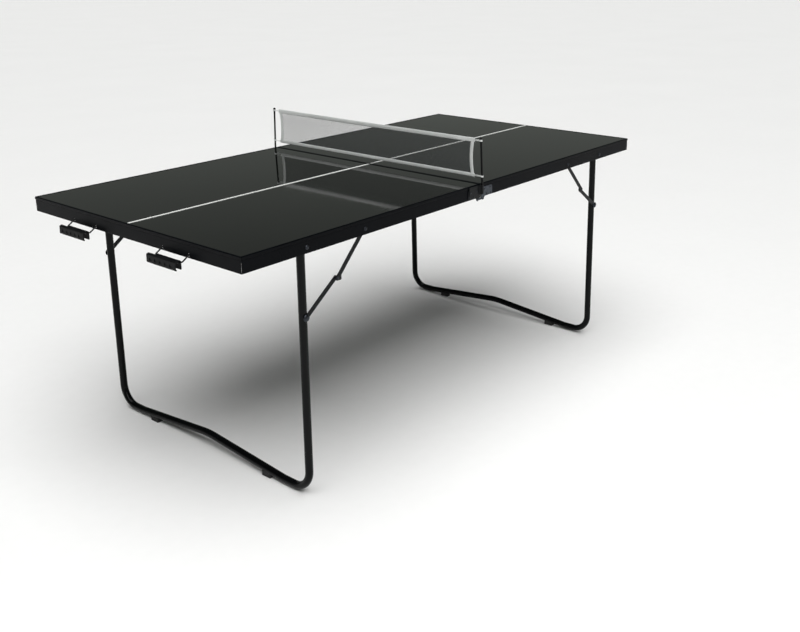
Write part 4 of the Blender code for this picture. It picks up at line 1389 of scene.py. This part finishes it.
@dataclass
class NetSet:
    """The net: two knobbed posts, woven tapes with stitching, cord loops and the knotted cloth."""

    post_radius: float = 0.0030
    knob: float = 0.0046
    above: float = 0.141
    bend_height: float = 0.010
    lean: float = math.radians(2.5)
    low: float = 0.750
    high: float = 0.870
    half_width: float = 0.436
    top_tape: float = 0.0130
    bottom_tape: float = 0.0110
    side_tape: float = 0.0120
    tape_thickness: float = 0.0022
    bow: float = 0.0070
    mesh: float = 0.0036
    thread: float = 0.0011
    cord: float = 0.0008
    stitch_pitch: float = 0.0042
    stitch: tuple[float, float, float] = (0.00022, 0.0013, 0.00030)
    stitch_inset: float = 0.0022
    loop_turns: float = 2.5
    loop_steps: int = 60
    sag: float = 0.0012
    tuck: float = 0.002

    def lean_at(self, z: float) -> float:
        """Return how far a post leans towards the net at a height."""
        return max(0.0, z - SIZES.top - self.bend_height) * math.tan(self.lean)

    def bow_at(self, z: float) -> float:
        """Return how far the net's side edges are pulled inwards at a height."""
        u = (z - (self.low + self.high) / 2) / ((self.high - self.low) / 2)
        return self.bow * max(0.0, 1 - u * u)

    def post(self, edge: Edge) -> Shape:
        """Bend a post slightly inwards and put a round knob on it.

        Args:
            edge: the edge it stands at.

        Returns:
            The shape.
        """
        foot, bend, top = SIZES.top - 0.030, SIZES.top + self.bend_height, SIZES.top + self.above
        bent = [bend + 0.004 * step for step in range(-3, 4)]
        heights = [foot, foot + 0.0005, *bent, top - 0.006]
        route = [(0, edge.side * (SIZES.post_y - self.lean_at(z)), z) for z in heights]
        rod = swept(route, self.post_radius, 20)
        knob = arc((0, 0), self.knob, 75, -45, 8)
        profile = [(0.0, self.knob), *knob, (self.post_radius - 0.0004, -0.0050), (0.0, -0.0050)]
        tip = (0, edge.side * (SIZES.post_y - self.lean_at(top)), top - self.knob)
        turn = Matrix.Rotation(edge.side * self.lean, 4, "X")
        return carved(rod, turned(profile, Matrix.Translation(tip) @ turn, 24), "UNION")

    def tape(self, route: Sequence[Point], width: float) -> Shape:
        """Fold a tape along a route: a flat oval section with a soft bulge.

        Args:
            route: its middle line.
            width: its width.

        Returns:
            The shape.
        """
        return swept(route, width / 2, 20, (self.tape_thickness / width, 1.0))

    def stitches(self) -> Shape:
        """Sew a row of stitches along the inner edge of both long tapes, on both faces."""
        pattern = bmesh.new()
        bmesh.ops.create_icosphere(pattern, subdivisions=1, radius=1.0)
        moved(pattern, Matrix.Diagonal((*self.stitch, 1.0)))
        count = int(2 * (self.half_width - self.side_tape) / self.stitch_pitch)
        along = [(step - count / 2) * self.stitch_pitch for step in range(count + 1)]
        places = []
        for z, width in (
            (self.low + self.bottom_tape - self.stitch_inset, self.bottom_tape),
            (self.high - self.top_tape + self.stitch_inset, self.top_tape),
        ):
            offset = 1 - 2 * self.stitch_inset / width
            deep = self.tape_thickness / 2 * math.sqrt(1 - offset * offset)
            places += [Matrix.Translation((face * deep, y, z)) for y in along for face in (-1, 1)]
        return repeated(pattern, places)

    def loops(self, edge: Edge) -> Shape:
        """Wind the cord loops that tie the tapes' ends round a post.

        Args:
            edge: the edge the post stands at.

        Returns:
            The shape.
        """
        wound = []
        reach = self.post_radius + self.cord + 0.0001
        rise = 2 * self.cord * 1.1 * self.loop_turns
        for z in (self.low + self.bottom_tape / 2, self.high - self.top_tape / 2):
            post = SIZES.post_y - self.lean_at(z)
            turns = []
            for step in range(self.loop_steps + 1):
                part = step / self.loop_steps
                angle = math.pi * 2 * self.loop_turns * part
                turns.append((
                    reach * math.cos(angle), post + reach * math.sin(angle), z + (part - 0.5) * rise,
                ))
            lead = [
                (0.0002, self.half_width - 0.004), (reach * 0.7, self.half_width + 0.006),
                (reach, post - 0.004),
            ]
            route = [
                *((x, y, turns[0][2]) for x, y in lead), *turns,
                *((-x, y, turns[-1][2]) for x, y in reversed(lead)),
            ]
            wound.append(swept([(x, edge.side * y, up) for x, y, up in route], self.cord, 8))
        return merged(wound)

    def cloth(self) -> bpy.types.Object:
        """Knot the net: a grid of threads that is bowed in at its sides.

        Returns:
            The piece.
        """
        shape = bmesh.new()
        low = self.low + self.bottom_tape - self.tuck
        high = self.high - self.top_tape + self.tuck
        wide = self.half_width - self.side_tape + self.tuck
        columns, rows = round(2 * wide / self.mesh), round((high - low) / self.mesh)
        middle = Matrix.Translation((0, 0, (low + high) / 2))
        upright = Matrix.Rotation(math.radians(90), 4, "Y")
        sizes = Matrix.Diagonal(((high - low) / 2, wide, 1.0, 1.0))
        bmesh.ops.create_grid(
            shape, x_segments=rows, y_segments=columns, size=1.0, matrix=middle @ upright @ sizes
        )
        for vertex in shape.verts:
            vertex.co.y *= 1 - self.bow_at(vertex.co.z) / wide
            pull = noise.noise(vertex.co * 25) * 0.0004
            vertex.co.z += pull if low + 0.003 < vertex.co.z < high - 0.003 else 0.0
        piece = as_object("net_knotted", shape)
        piece.data.materials.append(NET_THREAD.material())
        threads = piece.modifiers.new("threads", "WIREFRAME")
        threads.thickness, threads.use_even_offset = self.thread, False
        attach(piece, "net_set")
        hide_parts("net_cloth")
        return piece

    def build(self) -> None:
        """Make the posts, the tapes, their stitching and loops, and the cloth between them."""
        for edge in Edge:
            node, post = f"net_post_{edge.word}", self.post(edge)
            finish_piece(f"{node}_bent", post, BLACK_ENAMEL, "net_set", [node], "black_steel")
        across = [step / 30 - 1 for step in range(61)]
        levels = [self.low + (self.high - self.low) * step / 16 for step in range(1, 16)]
        border = ("net_set", ["net_border"], "net_white")
        for name, width, z, sag in (
            ("net_tape_top", self.top_tape, self.high - self.top_tape / 2, self.sag),
            ("net_tape_bottom", self.bottom_tape, self.low + self.bottom_tape / 2, 0.0),
        ):
            route = [(0, self.half_width * u, z - sag * (1 - u * u)) for u in across]
            finish_piece(name, self.tape(route, width), WHITE_TAPE, *border)
        for edge in Edge:
            outer = self.half_width - self.side_tape / 2
            route = [(0, edge.side * (outer - self.bow_at(z)), z) for z in levels]
            tape = self.tape(route, self.side_tape)
            finish_piece(f"net_tape_{edge.word}", tape, WHITE_TAPE, *border)
            cords = self.loops(edge)
            finish_piece(f"net_loops_{edge.word}", cords, WHITE_CORD, *border, smooth=60.0)
        finish_piece(
            "net_stitches", self.stitches(), WHITE_CORD, "net_set", slot="net_white", smooth=80.0,
        )
        cloth = self.cloth()
        LOG.info("the net has %d knots", len(cloth.data.vertices))


@dataclass
class Studio:
    """A pale floor, soft lights and the camera.

    Each light is given as its place, its size (the sun's in degrees) and its power.
    """

    yaw: float = 0.8934
    pitch: float = 0.2899
    roll: float = -0.003
    eye: tuple[float, float, float] = (-2.2359, -2.1387, 1.4076)
    focal: float = 951.69
    centre: tuple[float, float] = (450.05, 234.03)
    frame: tuple[int, int] = (800, 632)
    floor_size: float = 60.0
    shaded_band: tuple[float, float] = (0.12, 0.5)
    sky: tuple[Point, float, float] = ((-1.0, -1.2, 6.0), 70.0, 3.1)
    key: tuple[Point, float, float] = ((-1.8, -3.4, 3.6), 2.4, 60.0)
    key_target: Point = (0, 0, 0.4)
    horizon_grey: str = "#7b7f7a"
    zenith_grey: str = "#141615"

    def build_floor(self) -> None:
        """Lay the floor, far larger than the table."""
        shape = bmesh.new()
        bmesh.ops.create_grid(shape, x_segments=2, y_segments=2, size=self.floor_size)
        floor = as_object("floor", shape)
        floor.data.transform(Matrix.Translation((0, 0, -0.0002)))
        floor.data.materials.append(PALE_FLOOR.material())

    def light(
        self, name: str, kind: str, place: Point, target: Point, size: float, power: float
    ) -> None:
        """Hang a soft light that faces a point.

        Args:
            name: its name.
            kind: SUN or AREA.
            place: where it hangs.
            target: what it faces.
            size: an area light's side in metres, or a sun's width in degrees.
            power: its power, in watts or watts a square metre.
        """
        lamp = bpy.data.lights.new(name, kind)
        lamp.energy = power
        if kind == "SUN":
            lamp.angle = math.radians(size)
        else:
            lamp.shape, lamp.size = "SQUARE", size
        holder = bpy.data.objects.new(name, lamp)
        facing = (Vector(target) - Vector(place)).to_track_quat("-Z", "Y").to_matrix().to_4x4()
        holder.matrix_world = Matrix.Translation(place) @ facing
        bpy.context.scene.collection.objects.link(holder)

    def build_lights(self) -> None:
        """Hang the lights, and shade the room from a lighter horizon to a darker ceiling."""
        world = bpy.data.worlds.new("soft_room")
        world.use_nodes = True
        tree = world.node_tree
        way = add_node(tree, "TexCoord").outputs["Generated"]
        split = add_node(tree, "SeparateXYZ", links={"Vector": way})
        low, high = self.shaded_band
        height = add_node(
            tree, "MapRange", {"From Min": low, "From Max": high}, {"Value": split.outputs["Z"]}
        )
        shade = add_node(tree, "ValToRGB", links={"Fac": height.outputs["Result"]})
        shade.color_ramp.elements[0].color = linear(self.horizon_grey)
        shade.color_ramp.elements[1].color = linear(self.zenith_grey)
        tree.links.new(shade.outputs["Color"], tree.nodes["Background"].inputs["Color"])
        bpy.context.scene.world = world
        for name, kind, target, (place, size, power) in (
            ("overhead_sky", "SUN", (0, 0, 0), self.sky), ("key_light", "AREA", self.key_target, self.key),
        ):
            self.light(name, kind, place, target, size, power)
        bpy.context.scene.view_settings.view_transform = "Standard"

    def build_camera(self) -> None:
        """Set the camera."""
        cos_pitch = math.cos(self.pitch)
        ahead = Vector((
            math.sin(self.yaw) * cos_pitch, math.cos(self.yaw) * cos_pitch, -math.sin(self.pitch)
        ))
        right = ahead.cross((0, 0, 1)).normalized()
        up = right.cross(ahead)
        level, tilt = math.cos(self.roll), math.sin(self.roll)
        seen = bpy.data.cameras.new("view")
        seen.sensor_width, seen.sensor_fit = 36.0, "HORIZONTAL"
        seen.lens = self.focal * 36.0 / self.frame[0]
        seen.shift_x = (self.frame[0] / 2 - self.centre[0]) / self.frame[0]
        seen.shift_y = (self.centre[1] - self.frame[1] / 2) / self.frame[0]
        seen.clip_end = 200.0
        camera = bpy.data.objects.new("view", seen)
        camera.matrix_world = axes(
            right * level + up * tilt, up * level - right * tilt, -ahead, self.eye
        )
        bpy.context.scene.collection.objects.link(camera)
        bpy.context.scene.camera = camera

    def build(self) -> None:
        """Make the whole setting."""
        self.build_floor()
        self.build_lights()
        self.build_camera()


def main() -> None:
    """Build the table's looks on its plain model."""
    logging.basicConfig(level=logging.INFO, format="%(message)s")
    for old in list(bpy.data.objects):
        bpy.data.objects.remove(old, do_unlink=True)
    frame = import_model()
    Studio().build()
    for half in Half:
        TableHalf(half).build(frame["nodes"])
        FoldingLeg(half).build()
        KneeBraces(half).build()
    MiddleHinge().build()
    CarryingGear().build()
    NetSet().build()


if __name__ == "__main__":
    main()
